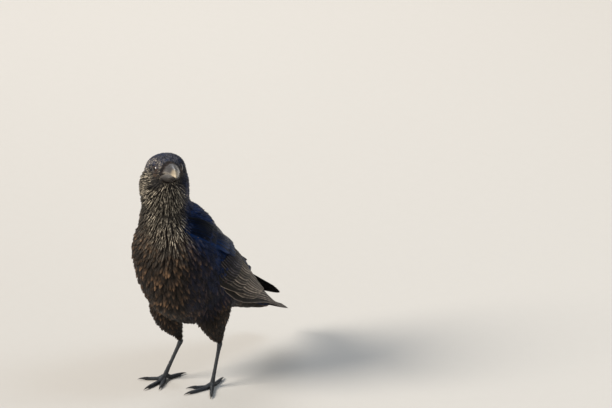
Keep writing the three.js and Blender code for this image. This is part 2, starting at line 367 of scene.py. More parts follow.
class Lay:
    """Where each vane's rows lie: their places, normals and directions, as (rows, vanes, 3)."""

    def __init__(self, spots, ups, ways):
        self.spots, self.ups, self.ways = spots, ups, ways


LIE_PULL = 0.25  # how far each row of a feather turns towards the coat's lie where it is
RAGGED_FROM = 0.45  # the share of a feather from which a fringe changes its columns' lengths


def lay_on(surface, roots, ways, lengths, rows, hold=0.85, lie=None):
    """
    Lays vanes along a surface from their roots. hold is how closely they keep to it, and lie is
    the coat's direction on each of its triangles.
    """
    step = (lengths / (rows - 1))[:, None]
    here, ups, _ = surface.nearest(roots)
    ways = unit(ways - ups * dot(ways, ups))
    laid = [(here, ups, ways)]
    for _ in range(rows - 1):
        ahead = here + ways * step
        near, ups, faces = surface.nearest(ahead)
        here = near * hold + ahead * (1 - hold)
        if lie is not None:
            ways = ways * (1 - LIE_PULL) + lie[faces] * LIE_PULL
        ways = unit(ways - ups * dot(ways, ups) * hold)
        laid.append((here, ups, ways))
    return Lay(*(np.stack([row[k] for row in laid]) for k in range(3)))


def blade_width(share, widest, point, blunt, root=0.35, cut=0.03):
    """
    A vane's half width along it: it grows to `widest`, then rounds or tapers to its tip, of
    which the share `cut` is left off.
    """
    beyond = np.clip((share - widest) / (1 + cut - widest), 0, 1)
    return (root + (1 - root) * ramp(0, widest, share)) * (1 - beyond**point) ** blunt


def vanes(name, lay, width, heights, columns, chance, widest=0.5, point=2.2, blunt=0.5,
          camber=0.16, fringe=0.0, thickness=0.12, ridge=0.0, root=0.35, tilt=0.0, facing=1.0,
          cut=0.03):
    """
    Builds closed blades on a lay. width is the half width of each vane, and heights, for each row
    and vane, is how far it stands over its lay. widest to blunt, root and cut shape its outline,
    as blade_width says. camber lowers its edges, fringe lengthens and shortens each column's tip,
    ridge raises the shaft, and tilt raises the edge that stays uncovered, which facing (1 or -1)
    puts on one side or the other. thickness is how far, in millimetres, the two edges, which the
    underside joins, lie lower than the face beside them.
    """
    rows, count, _ = lay.spots.shape
    steps = np.linalg.norm(np.diff(lay.spots, axis=0), axis=-1).mean(axis=1)
    share = np.append(0, np.cumsum(steps) / steps.sum())[:, None]
    across = np.linspace(-1, 1, columns)
    facing = np.broadcast_to(facing, count)[:, None]
    half = width * blade_width(share, widest, point, blunt, root, cut)
    sideways = np.cross(lay.ways, lay.ups)
    bow = half[..., None] * camber * across**2
    crest = ridge * half[..., None] * np.maximum(0, 1 - np.abs(across) * 3)
    rise = heights[..., None] - bow + crest + half[..., None] * across * tilt * facing
    ragged = chance.uniform(-1, 0.4, (1, count, columns)) * fringe
    tips = (ragged * ramp(RAGGED_FROM, 1, share)[..., None]) * np.linalg.norm(
        lay.spots[-1] - lay.spots[0], axis=-1)[None, :, None]
    points = (
        lay.spots[:, :, None]
        + sideways[:, :, None] * (half[..., None] * across)[..., None]
        + lay.ups[:, :, None] * rise[..., None]
        + lay.ways[:, :, None] * tips[..., None]
    )
    points = points.transpose(1, 0, 2, 3)  # vane, row, column
    under = thickness * MM
    points[:, :, 0] -= lay.ups.transpose(1, 0, 2) * under
    points[:, :, -1] -= lay.ups.transpose(1, 0, 2) * under

    grid = np.arange(rows * columns).reshape(rows, columns)
    top = np.stack([grid[:-1, :-1], grid[:-1, 1:], grid[1:, 1:], grid[1:, :-1]], -1).reshape(-1, 4)
    below = np.stack([grid[:-1, 0], grid[1:, 0], grid[1:, -1], grid[:-1, -1]], -1)
    root_cap = np.concatenate([grid[0, :1], grid[0, :0:-1]])[None]
    tip_cap = grid[-1][None]
    start = (np.arange(count) * rows * columns)[:, None, None]
    quads = (np.concatenate([top, below])[None] + start).reshape(-1, 4)
    caps = (np.concatenate([root_cap, tip_cap])[None] + start).reshape(-1, columns)
    piece = mesh_object(name, points.reshape(-1, 3), [quads, caps])

    mesh = piece.data
    rim = np.zeros((rows, columns), bool)
    rim[:, 0] = rim[:, -1] = rim[0] = rim[-1] = True
    rim = np.tile(rim.ravel(), count)
    sharp = mesh.attributes.new("sharp_edge", "BOOLEAN", "EDGE")
    sharp.data.foreach_set("value", rim[read(mesh.edges, "vertices", 2, np.int32)].all(axis=1))
    beside = (across * facing[:, :, None] + 1) / 2
    places = np.stack(np.broadcast_arrays(beside, share[None]), -1).reshape(-1, 2)
    layer = add_map(mesh, "vane", places[vertex_of_loops(mesh)])
    mesh.uv_layers.active = layer
    layer.active_render = True
    return piece


PATCH = 0.003  # a feather's size on the bake's map of the coat
MARGIN = 0.04  # the gap round each vane that stands alone, as a share of its place in the grid


def vane_of_loops(piece, count):
    """For each face corner, the number of its vane, and its place on the vane's own map."""
    owner = vertex_of_loops(piece.data) // (len(piece.data.vertices) // count)
    return owner, read(piece.data.uv_layers["vane"].uv, "vector", 2)


def mark_roots(piece, patches, count):
    """The bake's map: each vane is a small patch at its root's place on the skin's unwrap."""
    owner, vane = vane_of_loops(piece, count)
    add_map(piece.data, "OFBake", patches[owner] + (vane - 0.5) * PATCH)


def mark_grid(piece, count, columns=8):
    """The bake's map for pieces that stand alone: each vane has its own patch in a grid."""
    owner, vane = vane_of_loops(piece, count)
    cell = np.stack([owner % columns, owner // columns], -1)
    shape = np.array([columns, math.ceil(count / columns)])
    add_map(piece.data, "OFBake", (cell + MARGIN + vane * (1 - 2 * MARGIN)) / shape)


def shade_vanes(piece, count, **values):
    """One value for each vane, on all its corners."""
    per_vane = len(piece.data.vertices) // count
    for name, value in values.items():
        add_values(piece.data, name, np.repeat(np.broadcast_to(value, count), per_vane))


# --- Settings: the sizes and colours that a user would change --------------------------------------


def millimetres(name, description, default):
    """A size in millimetres."""
    return FloatProperty(name=name, description=description, default=default, min=0.0)


def fraction(name, description, default):
    """A share, from 0 to 1."""
    return FloatProperty(name=name, description=description, default=default, min=0.0, max=1.0)


def colour(name, description, default):
    """A colour, as linear red, green and blue."""
    return FloatVectorProperty(
        name=name, description=description, default=default, size=3, subtype="COLOR", min=0.0, max=1.0)


class CrowColours(bpy.types.PropertyGroup):
    """The crow's colours, and the floor's."""

    black: colour("Black", "Fresh plumage", (0.0065, 0.0056, 0.0055))
    brown: colour("Worn brown", "Worn feather tips on breast, belly and thighs", (0.135, 0.079, 0.045))
    blue: colour("Blue gloss", "Glossy feathers of crown, nape and mantle", (0.003, 0.0165, 0.064))
    # Painted glints: pale streaks along the hackles' shafts, as of light catching them
    streak: colour("Streaks", "Shafts of the throat's hackles", (0.72, 0.63, 0.49))
    flight: colour("Flight feathers", "Vanes of wing and tail", (0.0155, 0.0125, 0.0108))
    flight_edge: colour("Worn edges", "Edges of the flight feathers", (0.40, 0.325, 0.255))
    horn: colour("Horn", "The bill", (0.042, 0.038, 0.037))
    # Worn horn, paler at the tip, where it also stands in for a painted highlight
    worn_and_highlit_horn: colour("Worn and highlit horn", "The bill's tip and cutting edges", (0.45, 0.37, 0.255))
    iris: colour("Iris", "The eye", (0.014, 0.007, 0.004))
    scale: colour("Scales", "Shanks and toes", (0.022, 0.023, 0.027))
    claw: colour("Claws", "The claws", (0.012, 0.012, 0.014))
    floor: colour("Floor", "The floor under the crow", (0.57, 0.55, 0.52))


class CrowCoat(bpy.types.PropertyGroup):
    """Feather spacing, length and depth, in millimetres, for each part of the body."""

    head_spacing: millimetres("Head spacing", "Between feathers on the crown", 1.45)
    face_spacing: millimetres("Face spacing", "Between feathers round bill and eyes", 1.05)
    neck_spacing: millimetres("Neck spacing", "Between feathers on neck and throat", 2.3)
    body_spacing: millimetres("Body spacing", "Between feathers on breast and back", 3.6)
    thigh_spacing: millimetres("Thigh spacing", "Between feathers on the thighs", 2.7)
    wing_spacing: millimetres("Wing spacing", "Between the wing's small coverts", 4.0)
    head_depth: millimetres("Head depth", "The coat's depth on the head", 1.9)
    neck_depth: millimetres("Neck depth", "The coat's depth on the neck", 3.4)
    body_depth: millimetres("Body depth", "The coat's depth on the trunk", 4.4)
    thigh_depth: millimetres("Thigh depth", "The coat's depth on the thighs", 3.6)
    wing_depth: millimetres("Wing depth", "The coat's depth on the folded wing", 3.6)
    seed: IntProperty(name="Seed", description="Chooses the feathers' small differences", default=7)


class CrowSkinSizes(bpy.types.PropertyGroup):
    """How finely the skin is made, and how far it reaches."""

    grain: millimetres("Grain", "The skin's mesh size", 2.6)
    wing_share: fraction("Wing share", "How far along the wing the skin reaches", 0.52)


class CrowHead(bpy.types.PropertyGroup):
    """Sizes of the eyes, and the number of bristles."""

    eye_radius: millimetres("Eye radius", "The eye's ball", 6.0)
    eye_opening: millimetres("Eye opening", "The radius of the opening between the lids", 4.6)
    eye_sunk: millimetres("Eye sunk", "How far the ball sits inside its place", 0.6)
    eye_flatness: fraction("Eye flatness", "The ball's depth for its width", 0.7)
    lid_thickness: millimetres("Lid thickness", "The radius of the lids' rim", 0.5)
    bristles: IntProperty(name="Bristles", description="Bristles over the bill's root", default=760)


class CrowStage(bpy.types.PropertyGroup):
    """Where the camera stands and what it spans."""

    azimuth: FloatProperty(name="Azimuth", description="Camera round the crow, degrees", default=36.0)
    elevation: FloatProperty(name="Elevation", description="Camera above the floor, degrees", default=22.0)
    lens: millimetres("Lens", "The camera's focal length", 200.0)
    frame_width: millimetres("Frame width", "What the frame spans at the crow", 869.0)
    right: millimetres("Right of the crow", "From the crow's middle to the frame's middle", 136.9)
    above: millimetres("Above the floor", "From the floor under the crow to the frame's middle", 243.2)


# --- Shader groups ------------------------------------------------------------------------------

# Colours of small things, as linear red, green and blue
HORN_FLAKES = (0.14, 0.125, 0.11)
IRIS_FIBRES = (0.07, 0.032, 0.015)
PUPIL = (0.002, 0.002, 0.002)
EYE_RIM = (0.006, 0.005, 0.005)
LID_FOLDS = ((0.018, 0.017, 0.018), (0.05, 0.047, 0.045))
SCALE_DUST = (0.10, 0.092, 0.08)
SCALE_GAPS = (0.008, 0.008, 0.009)
CLAW_GRAIN = (0.06, 0.055, 0.05)
FLOOR_GRAIN = (0.5, 0.48, 0.45)

FULL_TURN = 6.283  # in radians


def new_group(name, inputs, outputs):
    group = bpy.data.node_groups.new(name, "ShaderNodeTree")
    for label, kind, default in inputs:
        socket = group.interface.new_socket(label, in_out="INPUT", socket_type=kind)
        if default is not None:
            socket.default_value = default
    for label, kind in outputs:
        group.interface.new_socket(label, in_out="OUTPUT", socket_type=kind)
    return group, group.nodes.new("NodeGroupInput"), group.nodes.new("NodeGroupOutput")


class Wiring:
    """Adds nodes to a tree in a few words: each gives back the socket that it ends in."""

    def __init__(self, tree):
        self.tree = tree

    def link(self, value, socket):
        """Links a socket, or sets a plain value; None leaves the input as it is."""
        if isinstance(value, bpy.types.NodeSocket):
            self.tree.links.new(value, socket)
        elif value is not None:
            socket.default_value = value

    def math(self, operation, a, b=None, c=None, clamp=False):
        node = self.tree.nodes.new("ShaderNodeMath")
        node.operation = operation
        node.use_clamp = clamp
        for socket, given in zip(node.inputs, (a, b, c)):
            self.link(given, socket)
        return node.outputs[0]

    def grey(self, value):
        node = self.tree.nodes.new("ShaderNodeCombineColor")
        for socket in node.inputs:
            self.link(value, socket)
        return node.outputs[0]

    def ramp(self, value, low, high, to_low=0.0, to_high=1.0):
        node = self.tree.nodes.new("ShaderNodeMapRange")
        node.interpolation_type = "SMOOTHSTEP"
        for socket, given in zip(node.inputs, (value, low, high, to_low, to_high)):
            self.link(given, socket)
        return node.outputs[0]

    def mix(self, share_of_b, a, b, blend="MIX"):
        node = self.tree.nodes.new("ShaderNodeMix")
        node.data_type = "RGBA"
        node.blend_type = blend
        node.clamp_factor = True
        self.link(share_of_b, node.inputs["Factor"])
        inputs, outputs = ([s for s in side if s.type == "RGBA"] for side in (node.inputs, node.outputs))
        for socket, given in zip(inputs, (a, b)):
            self.link((*given, 1.0) if isinstance(given, tuple) else given, socket)
        return outputs[0]

    def noise(self, vector, scale, detail=3.0, roughness=0.5):
        node = self.tree.nodes.new("ShaderNodeTexNoise")
        self.link(vector, node.inputs["Vector"])
        node.inputs["Scale"].default_value = scale
        node.inputs["Detail"].default_value = detail
        node.inputs["Roughness"].default_value = roughness
        return node.outputs["Fac"]

    def value(self, name):
        """The values that add_values left under a name."""
        node = self.tree.nodes.new("ShaderNodeAttribute")
        node.attribute_name = name
        return node.outputs["Fac"]

    def places(self):
        return self.tree.nodes.new("ShaderNodeTexCoord").outputs["Object"]

    def vane_map(self):
        node = self.tree.nodes.new("ShaderNodeUVMap")
        node.uv_map = "vane"
        return node.outputs["UV"]

    def group(self, group, **inputs):
        """A node for a group; _ stands for the spaces in its inputs' names."""
        node = self.tree.nodes.new("ShaderNodeGroup")
        node.node_tree = group
        for name, value in inputs.items():
            self.link(value, node.inputs[name.replace("_", " ")])
        return node.outputs

    def bump(self, height, strength, distance):
        node = self.tree.nodes.new("ShaderNodeBump")
        node.inputs["Strength"].default_value = strength
        node.inputs["Distance"].default_value = distance
        self.link(height, node.inputs["Height"])
        return node.outputs["Normal"]


def vane_group():
    """
    Masks of a vane from its own map: shaft, edge, tip and the painted shade, which darkens the part
    that lies beside the next vane's edge, where that edge's shadow falls; and the height of its barbs.
    """
    if "Vane" in bpy.data.node_groups:
        return bpy.data.node_groups["Vane"]
    group, given, out = new_group(
        "Vane",
        (("Map", "NodeSocketVector", None), ("Barbs", "NodeSocketFloat", 40.0),
         ("Slant", "NodeSocketFloat", 0.35), ("Shaft Width", "NodeSocketFloat", 0.1),
         ("Edge Start", "NodeSocketFloat", 0.6), ("Edge Full", "NodeSocketFloat", 1.0),
         ("Tip Start", "NodeSocketFloat", 0.6), ("Tip Full", "NodeSocketFloat", 1.0),
         ("Lee Start", "NodeSocketFloat", -0.5), ("Lee Full", "NodeSocketFloat", -1.0)),
        (("Shaft", "NodeSocketFloat"), ("Edge", "NodeSocketFloat"), ("Tip", "NodeSocketFloat"),
         ("Painted Shade", "NodeSocketFloat"), ("Height", "NodeSocketFloat")))
    w = Wiring(group)
    split = group.nodes.new("ShaderNodeSeparateXYZ")
    w.link(given.outputs["Map"], split.inputs[0])
    across = w.math("ABSOLUTE", w.math("MULTIPLY_ADD", split.outputs[0], 2.0, -1.0))
    along = split.outputs[1]
    w.link(w.ramp(across, 0.0, given.outputs["Shaft Width"], 1.0, 0.0), out.inputs["Shaft"])
    w.link(w.ramp(across, given.outputs["Edge Start"], given.outputs["Edge Full"]), out.inputs["Edge"])
    w.link(w.ramp(along, given.outputs["Tip Start"], given.outputs["Tip Full"]), out.inputs["Tip"])
    # Painted shade: darkest where the vane lies under the next vane's edge
    painted_shade = w.ramp(split.outputs[0], given.outputs["Lee Full"], given.outputs["Lee Start"], 1.0, 0.0)
    w.link(painted_shade, out.inputs["Painted Shade"])
    slanted = w.math("SUBTRACT", along, w.math("MULTIPLY", across, given.outputs["Slant"]))
    waves = w.math("SINE", w.math("MULTIPLY", slanted, w.math("MULTIPLY", given.outputs["Barbs"], FULL_TURN)))
    w.link(w.math("MULTIPLY", waves, w.math("SUBTRACT", 1.0, w.math("MULTIPLY", across, 0.3))),
           out.inputs["Height"])
    return group


def kept_material(name):
    """Makes a function that wires a material run once, and gives back the material it made."""
    def mark(wire):
        def find():
            if name not in bpy.data.materials:
                made = bpy.data.materials.new(name)
                made.use_nodes = True
                shader = made.node_tree.nodes["Principled BSDF"]
                wire(shader, Wiring(made.node_tree), bpy.context.scene.crow_colours)
            return bpy.data.materials[name]
        return find
    return mark


def wire_feathers(shader, w, colours, fresh, worn_colour, barbs, edge, tip, painted_shade, shaft, shine, tint):
    """
    Feathers: the fresh colour, worn towards tip and edges, blue where glossy, with pale painted
    glints along the shafts and painted shade where a vane lies under the next one, as their values
    say. edge, tip and the painted shade's range are where along the map they start and are full,
    shaft is the shaft's share of the width, shine is the roughness of a dull and of a glossy
    feather, and tint colours what it mirrors.
    """
    vane = w.group(vane_group(), Map=w.vane_map(), Barbs=barbs, Edge_Start=edge[0],
                   Edge_Full=edge[1], Tip_Start=tip[0], Tip_Full=tip[1], Lee_Start=painted_shade[0],
                   Lee_Full=painted_shade[1], Shaft_Width=shaft)
    patches = w.noise(w.places(), 130.0, 2.0)
    glint_flecks = w.ramp(w.noise(w.places(), 300.0, 2.0), 0.4, 0.56, 0.25, 1.0)
    worn = w.math("MULTIPLY", w.value("wear"), w.ramp(patches, 0.3, 0.7, 0.5, 1.15))
    where = w.math("MAXIMUM", vane["Tip"], vane["Edge"])
    brown = w.math("MULTIPLY", worn, w.math("MULTIPLY_ADD", where, 0.86, 0.14), clamp=True)
    base = w.mix(brown, tuple(fresh), tuple(worn_colour))
    blue = w.math("MULTIPLY", w.value("gloss"), w.ramp(patches, 0.25, 0.75, 0.7, 1.0), clamp=True)
    blue = w.math("MULTIPLY", blue, w.math("SUBTRACT", 1.0, w.math("MULTIPLY", brown, 0.7)))
    base = w.mix(blue, base, tuple(colours.blue))
    # Painted glints: pale streaks along the shafts, in flecks
    streak = w.math("MULTIPLY", vane["Shaft"], w.math("MULTIPLY", w.value("streak"), glint_flecks))
    base = w.mix(streak, base, tuple(colours.streak))
    # A random tone for each vane, times the painted shade under the next vane's edge
    shade = w.math("MULTIPLY", w.ramp(w.value("shade"), 0.0, 1.0, 0.5, 1.5),
                   w.ramp(vane["Painted Shade"], 0.0, 1.0, 1.0, 0.1))
    base = w.mix(1.0, base, w.grey(shade), "MULTIPLY")
    w.link(base, shader.inputs["Base Color"])
    w.link(w.math("MULTIPLY", blue, 0.85), shader.inputs["Metallic"])
    w.link(w.ramp(w.value("gloss"), 0.0, 1.0, shine[0], shine[1]), shader.inputs["Roughness"])
    shader.inputs["Specular Tint"].default_value = (*tint, 1.0)
    shader.inputs["Specular IOR Level"].default_value = 0.17
    w.link(w.bump(vane["Height"], 0.35, 0.0002), shader.inputs["Normal"])


@kept_material("Body feathers")
def body_feathers(shader, w, colours):
    wire_feathers(shader, w, colours, colours.black, colours.brown, 26.0, edge=(1.1, 1.4),
                  tip=(0.6, 0.95), painted_shade=(-0.5, -1.0), shaft=0.5, shine=(0.55, 0.38),
                  tint=(1.0, 0.95, 0.88))


@kept_material("Shoulder feathers")
def shoulder_feathers(shader, w, colours):
    wire_feathers(shader, w, colours, colours.black, colours.brown, 34.0, edge=(0.8, 1.0),
                  tip=(0.8, 1.0), painted_shade=(0.66, 0.4), shaft=0.08, shine=(0.45, 0.34),
                  tint=(0.85, 0.9, 1.0))


@kept_material("Flight feathers")
def flight_feathers(shader, w, colours):
    wire_feathers(shader, w, colours, colours.flight, colours.flight_edge, 60.0, edge=(0.82, 0.93),
                  tip=(0.94, 1.0), painted_shade=(0.88, 0.74), shaft=0.06, shine=(0.6, 0.5),
                  tint=(1.0, 0.94, 0.86))


@kept_material("Crow skin")
def skin_material(shader, w, colours):
    mottle = w.noise(w.places(), 220.0, 4.0)
    worn = w.math("MULTIPLY", w.value("wear"), w.ramp(mottle, 0.3, 0.7, 0.1, 0.6), clamp=True)
    base = w.mix(worn, tuple(colours.black), tuple(colours.brown))
    base = w.mix(w.math("MULTIPLY", w.value("gloss"), 0.6), base, tuple(colours.blue))
    w.link(base, shader.inputs["Base Color"])
    w.link(w.ramp(mottle, 0.2, 0.8, 0.75, 0.9), shader.inputs["Roughness"])
    w.link(w.bump(mottle, 0.5, 0.0006), shader.inputs["Normal"])


# --- Skin ------------------------------------------------------------------------------------------


class Body:
    """
    What the operators share: the skin, what the coat needs to know at each of its corners, the
    wings' blades and the bill's halves.
    """

    def __init__(self):
        self.blades = {}


BODY = Body()

WING_CUT = (0.0, 0.77, -0.64)  # the way in which the skin leaves the rest of the wing out
SEAT_RADIUS = 8.0 * MM  # the flattened skin round each eye
BILL_ROOT = from_head(0.0, 36 * MM, 0.0)  # from here the coat flows back over the body


def nodes_near(places, nodes):
    """Which of the nodes is nearest to each place, as one column of 0 and 1 for each node."""
    gaps = []
    for node in nodes:
        copy = joined_copy("probe", [node])
        tree = tree_of(copy.data)
        gaps.append([tree.find_nearest(place)[3] for place in places.tolist()])
        bpy.data.objects.remove(copy)
    nearest = np.argmin(np.array(gaps), axis=0)
    return np.eye(len(nodes))[nearest]


def coat_depths(regions, coat):
    """The coat's depth at each corner, in metres, from the shares of the flesh nodes."""
    by_node = np.array([coat.body_depth, coat.neck_depth, coat.head_depth, coat.thigh_depth,
                        coat.thigh_depth, coat.wing_depth, coat.wing_depth]) * MM
    return regions @ by_node


def eye_seat(side):
    """An eye's middle, a little ahead of and within the solid's, and the way it looks."""
    away = AWAY[side]
    place = middle_of(f"eye_{side}") + (2.2 * FORWARD + 0.3 * away * LEFT) * MM
    return place, unit(away * LEFT + 0.65 * FORWARD + 0.05 * UP)


class CROW_OT_skin(bpy.types.Operator):
    """Adds the skin: one shape through all the flesh, as deep inside it as the coat is thick."""

    bl_idname = "crow.skin"
    bl_label = "Skin"

    def execute(self, context):
        sizes = context.scene.crow_skin
        skin = self.flesh(sizes.wing_share)
        apply_modifier(skin, "REMESH", mode="VOXEL", voxel_size=sizes.grain * MM)
        apply_modifier(skin, "SMOOTH", factor=0.6, iterations=10)
        apply_modifier(skin, "TRIANGULATE")
        outer = Surface(skin.data)
        BODY.regions = outer.spread(nodes_near(outer.points, FLESH), 6)
        BODY.depths = coat_depths(BODY.regions, context.scene.crow_coat)
        inner = outer.points - outer.normals * BODY.depths[:, None]
        self.seat_eyes(inner)
        move_corners(skin, inner)
        apply_modifier(skin, "SMOOTH", factor=0.5, iterations=2)
        edit_all(skin, bpy.ops.uv.smart_project, angle_limit=math.radians(70), island_margin=0.004)
        skin.data.uv_layers[0].name = "skin"
        BODY.skin = skin
        BODY.surface = Surface(skin.data)
        survey(BODY)
        for name in ("wear", "gloss"):
            add_values(skin.data, name, getattr(BODY, name))
        finish_piece(skin, skin_material(), FLESH)
        return {"FINISHED"}

    def flesh(self, wing_share):
        """Body, eyes and the fore parts of the wings in one object."""
        whole = [node for node in FLESH if "wing" not in node]
        parts = [joined_copy("flesh", whole + ["eye_left", "eye_right"])]
        for side in SIDES:
            wing = joined_copy("wing_flesh", [f"wing_{side}"])
            low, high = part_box(f"wing_{side}")
            place = low.lerp(high, wing_share)
            edit_all(wing, bpy.ops.mesh.bisect, plane_co=(0, place.y, place.z), plane_no=WING_CUT,
                     use_fill=True, clear_outer=True)
            parts.append(wing)
        activate(parts[0])
        for part in parts:
            part.select_set(True)
        bpy.ops.object.join()
        skin = parts[0]
        skin.name = "skin"
        skin.data.name = "skin"
        return skin

    def seat_eyes(self, points):
        """Flattens the skin under each eye, so that only the eye stands out there."""
        for side in SIDES:
            solid = (middle_of(f"eye_{side}"), AWAY[side] * LEFT)
            for eye, outwards in (solid, eye_seat(side)):
                away = points - eye
                out = away @ outwards
                off_axis = np.linalg.norm(away - out[:, None] * outwards, axis=1)
                under = (off_axis < SEAT_RADIUS) & (out > -2 * MM)
                limit = (1.0 + 1.4 * ramp(3 * MM, SEAT_RADIUS, off_axis)) * MM
                excess = np.where(under, np.maximum(0, out - limit), 0)
                points -= excess[:, None] * outwards


# Where the coat's patterns begin and where they are full, as distances from the bill's root: the
# face, the painted glints of throat, bib and breast, and the worn brown
FACE = (52 * MM, 18 * MM)
THROAT = (54 * MM, 42 * MM)
BIB_TOP = (50 * MM, 60 * MM)
BIB_END = (98 * MM, 80 * MM)
FAINT_GLINTS = (130 * MM, 95 * MM)
WORN = (55 * MM, 125 * MM)

# From an eye to the brown lores before it, and to the hollow under them, which is kept free of
# glints as painted shade
LORES = (7 * FORWARD - 2 * UP) * MM
SHADED_HOLLOW = (5 * FORWARD - 16 * UP) * MM


def parts_of(regions):
    """The shares of trunk, neck, head, both thighs and both wings."""
    trunk, neck, head, thigh_left, thigh_right, wing_left, wing_right = regions.T
    return trunk, neck, head, thigh_left + thigh_right, wing_left + wing_right


def hem_of(side):
    """The height of a thigh's lower end."""
    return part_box(f"thigh_{side}")[0][2]


def survey(body):
    """Works out the coat's lie, wear, gloss, painted glints and painted shade, and where it ends."""
    surface = body.surface
    near_bill = distance_to(BILL_ROOT, surface.points) < 12 * MM
    body.from_bill = surface.distances(np.flatnonzero(near_bill))
    body.lie = surface.downhill(body.from_bill, 14)
    # The back faces up and behind, and the breast faces ahead and down.
    body.back = ramp(-0.35, 0.35, surface.normals @ unit(np.array([0.0, 0.8, 0.55])))
    colour_coat(body)
    body.bare = bare_places(body)


def colour_coat(body):
    """Painted glints, wear and gloss at each corner, from 0 to 1, and painted shade on the left flank."""
    points, from_bill = body.surface.points, body.from_bill
    trunk, neck, head, thigh, wing = parts_of(body.regions)
    left, _, up = to_head(points)
    crown = head * ramp(-4 * MM, 10 * MM, up)
    face = head * ramp(*FACE, from_bill)
    front = 1 - body.back
    low_down = ramp(0.16, 0.105, points[:, 2])
    # Painted glints on the hackles: the throat's, and a bib on the breast's top under the bill
    bib = ramp(*BIB_TOP, from_bill) * ramp(*BIB_END, from_bill)
    bib = bib * ramp(28 * MM, 14 * MM, np.abs(left + 3 * MM))
    hackles = ramp(*THROAT, from_bill) + bib + 0.16 * ramp(*FAINT_GLINTS, from_bill)
    streaks = np.clip(front * hackles + 0.4 * face * (1 - 0.3 * crown), 0, 1)
    patches = np.array([noise.noise(Vector(place) * 40) for place in points])
    wear = front * ramp(*WORN, from_bill) * (1 - 0.35 * low_down)
    wear = wear * np.clip(0.9 + 1.6 * patches, 0.25, 1.5)
    wear = np.clip(wear * (1 - 0.35 * thigh) + 0.3 * wing, 0, 1)
    # Fewer painted glints round each eye; none in the hollow under the lores, which stays dark as painted
    # shade
    for side in SIDES:
        from_eye = points - eye_seat(side)[0]
        lores = ramp(8.5 * MM, 4 * MM, distance_to(LORES, from_eye))
        shaded_hollow = ramp(12 * MM, 6 * MM, distance_to(SHADED_HOLLOW, from_eye))
        ring = ramp(11 * MM, 6 * MM, np.linalg.norm(from_eye, axis=1))
        wear = np.maximum(wear, 1.4 * lores)
        streaks = streaks * (1 - np.maximum(lores, 0.9 * shaded_hollow)) * (1 - 0.8 * ring)
    gloss = (trunk + neck) * body.back + head * (0.12 + 0.88 * crown) + 0.6 * wing
    gloss = np.clip(gloss * (1 - 0.45 * face), 0, 1)
    # Painted shade: the left flank is made less brown and bluer, as if it lay in shade.
    shaded_flank = ramp(8 * MM, 28 * MM, left) * trunk * front
    # streaks holds the painted glints
    body.streaks = streaks
    body.wear = wear * (1 - 0.45 * shaded_flank)
    body.gloss = gloss + 0.25 * shaded_flank * (1 - low_down)


def bare_places(body):
    """
    Where no feather roots, as more than 0.5: the end caps at heels and tail, which the feathers
    before them cover.
    """
    points, normals = body.surface.points, body.surface.normals
    trunk, _, _, thigh, _ = parts_of(body.regions)
    mid_shank = max(middle_of(f"shank_{side}")[2] for side in SIDES)
    bare = thigh * ramp(-0.55, -0.8, normals[:, 2]) * (points[:, 2] < mid_shank + 50 * MM)
    for side in SIDES:
        hem = hem_of(side)
        thigh_here = body.regions[:, FLESH.index(f"thigh_{side}")]
        bare += thigh_here * ramp(hem + 9 * MM, hem + 7 * MM, points[:, 2])
    last = np.argmax(trunk * body.from_bill)
    bare += trunk * ramp(24 * MM, 18 * MM, body.surface.distances(np.array([last])))
    past_tail = points[:, 1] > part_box("tail")[0][1] + 12 * MM
    return bare + trunk * ramp(0.7, 0.85, normals[:, 1]) * past_tail


# --- The coat -----------------------------------------------------------------------------------

TRIES = 9  # the roots that are tried, for each that would fit
BREAST_START = 0.55  # the share of the trunk's height above which it is breast, not belly
BILL_CLEAR = 4.0 * MM  # no feathers root this close to the bill's root
EYE_CLEAR = 5.1 * MM  # or to an eye's middle


def spacing_field(body, coat):
    """The distance between feathers at each corner of the skin, in metres."""
    trunk, neck, head, thigh, wing = parts_of(body.regions)
    spacing = (
        trunk * coat.body_spacing + neck * coat.neck_spacing + head * coat.head_spacing
        + thigh * coat.thigh_spacing + wing * coat.wing_spacing)
    points = body.surface.points
    close_by = [ramp(13 * MM, 5 * MM, distance_to(eye_seat(side)[0], points)) for side in SIDES]
    close_by.append(ramp(24 * MM, 10 * MM, distance_to(BILL_ROOT, points)))
    for close in close_by:
        spacing = spacing * (1 - close) + coat.face_spacing * close
    for side in SIDES:
        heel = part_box(f"shank_{side}")[1][2]
        spacing = spacing * (1 - 0.4 * ramp(heel + 34 * MM, heel, points[:, 2]) * thigh)
    return spacing * MM


def plant(body, spacing, chance):
    """Roots spread evenly over the skin, at least `spacing` apart: faces and shares within them."""
    surface = body.surface
    corners = surface.points[surface.triangles]
    areas = np.linalg.norm(np.cross(corners[:, 1] - corners[:, 0], corners[:, 2] - corners[:, 0]), axis=1) / 2
    gaps = spacing[surface.triangles].mean(axis=1)
    odds = areas / gaps**2
    tries = int(odds.sum() * TRIES)
    faces = chance.choice(len(odds), tries, p=odds / odds.sum())
    first, second = np.sqrt(chance.random(tries)), chance.random(tries)
    shares = np.stack([1 - first, first * (1 - second), first * second], -1)
    places = (corners[faces] * shares[..., None]).sum(axis=1)
    tree = KDTree(tries)
    for index, place in enumerate(places.tolist()):
        tree.insert(place, index)
    tree.balance()
    taken = np.zeros(tries, bool)
    kept = []
    for index, place in enumerate(places.tolist()):
        if taken[index]:
            continue
        kept.append(index)
        for _, other, _ in tree.find_range(place, gaps[faces[index]]):
            taken[other] = True
    return faces[kept], shares[kept], places[kept]


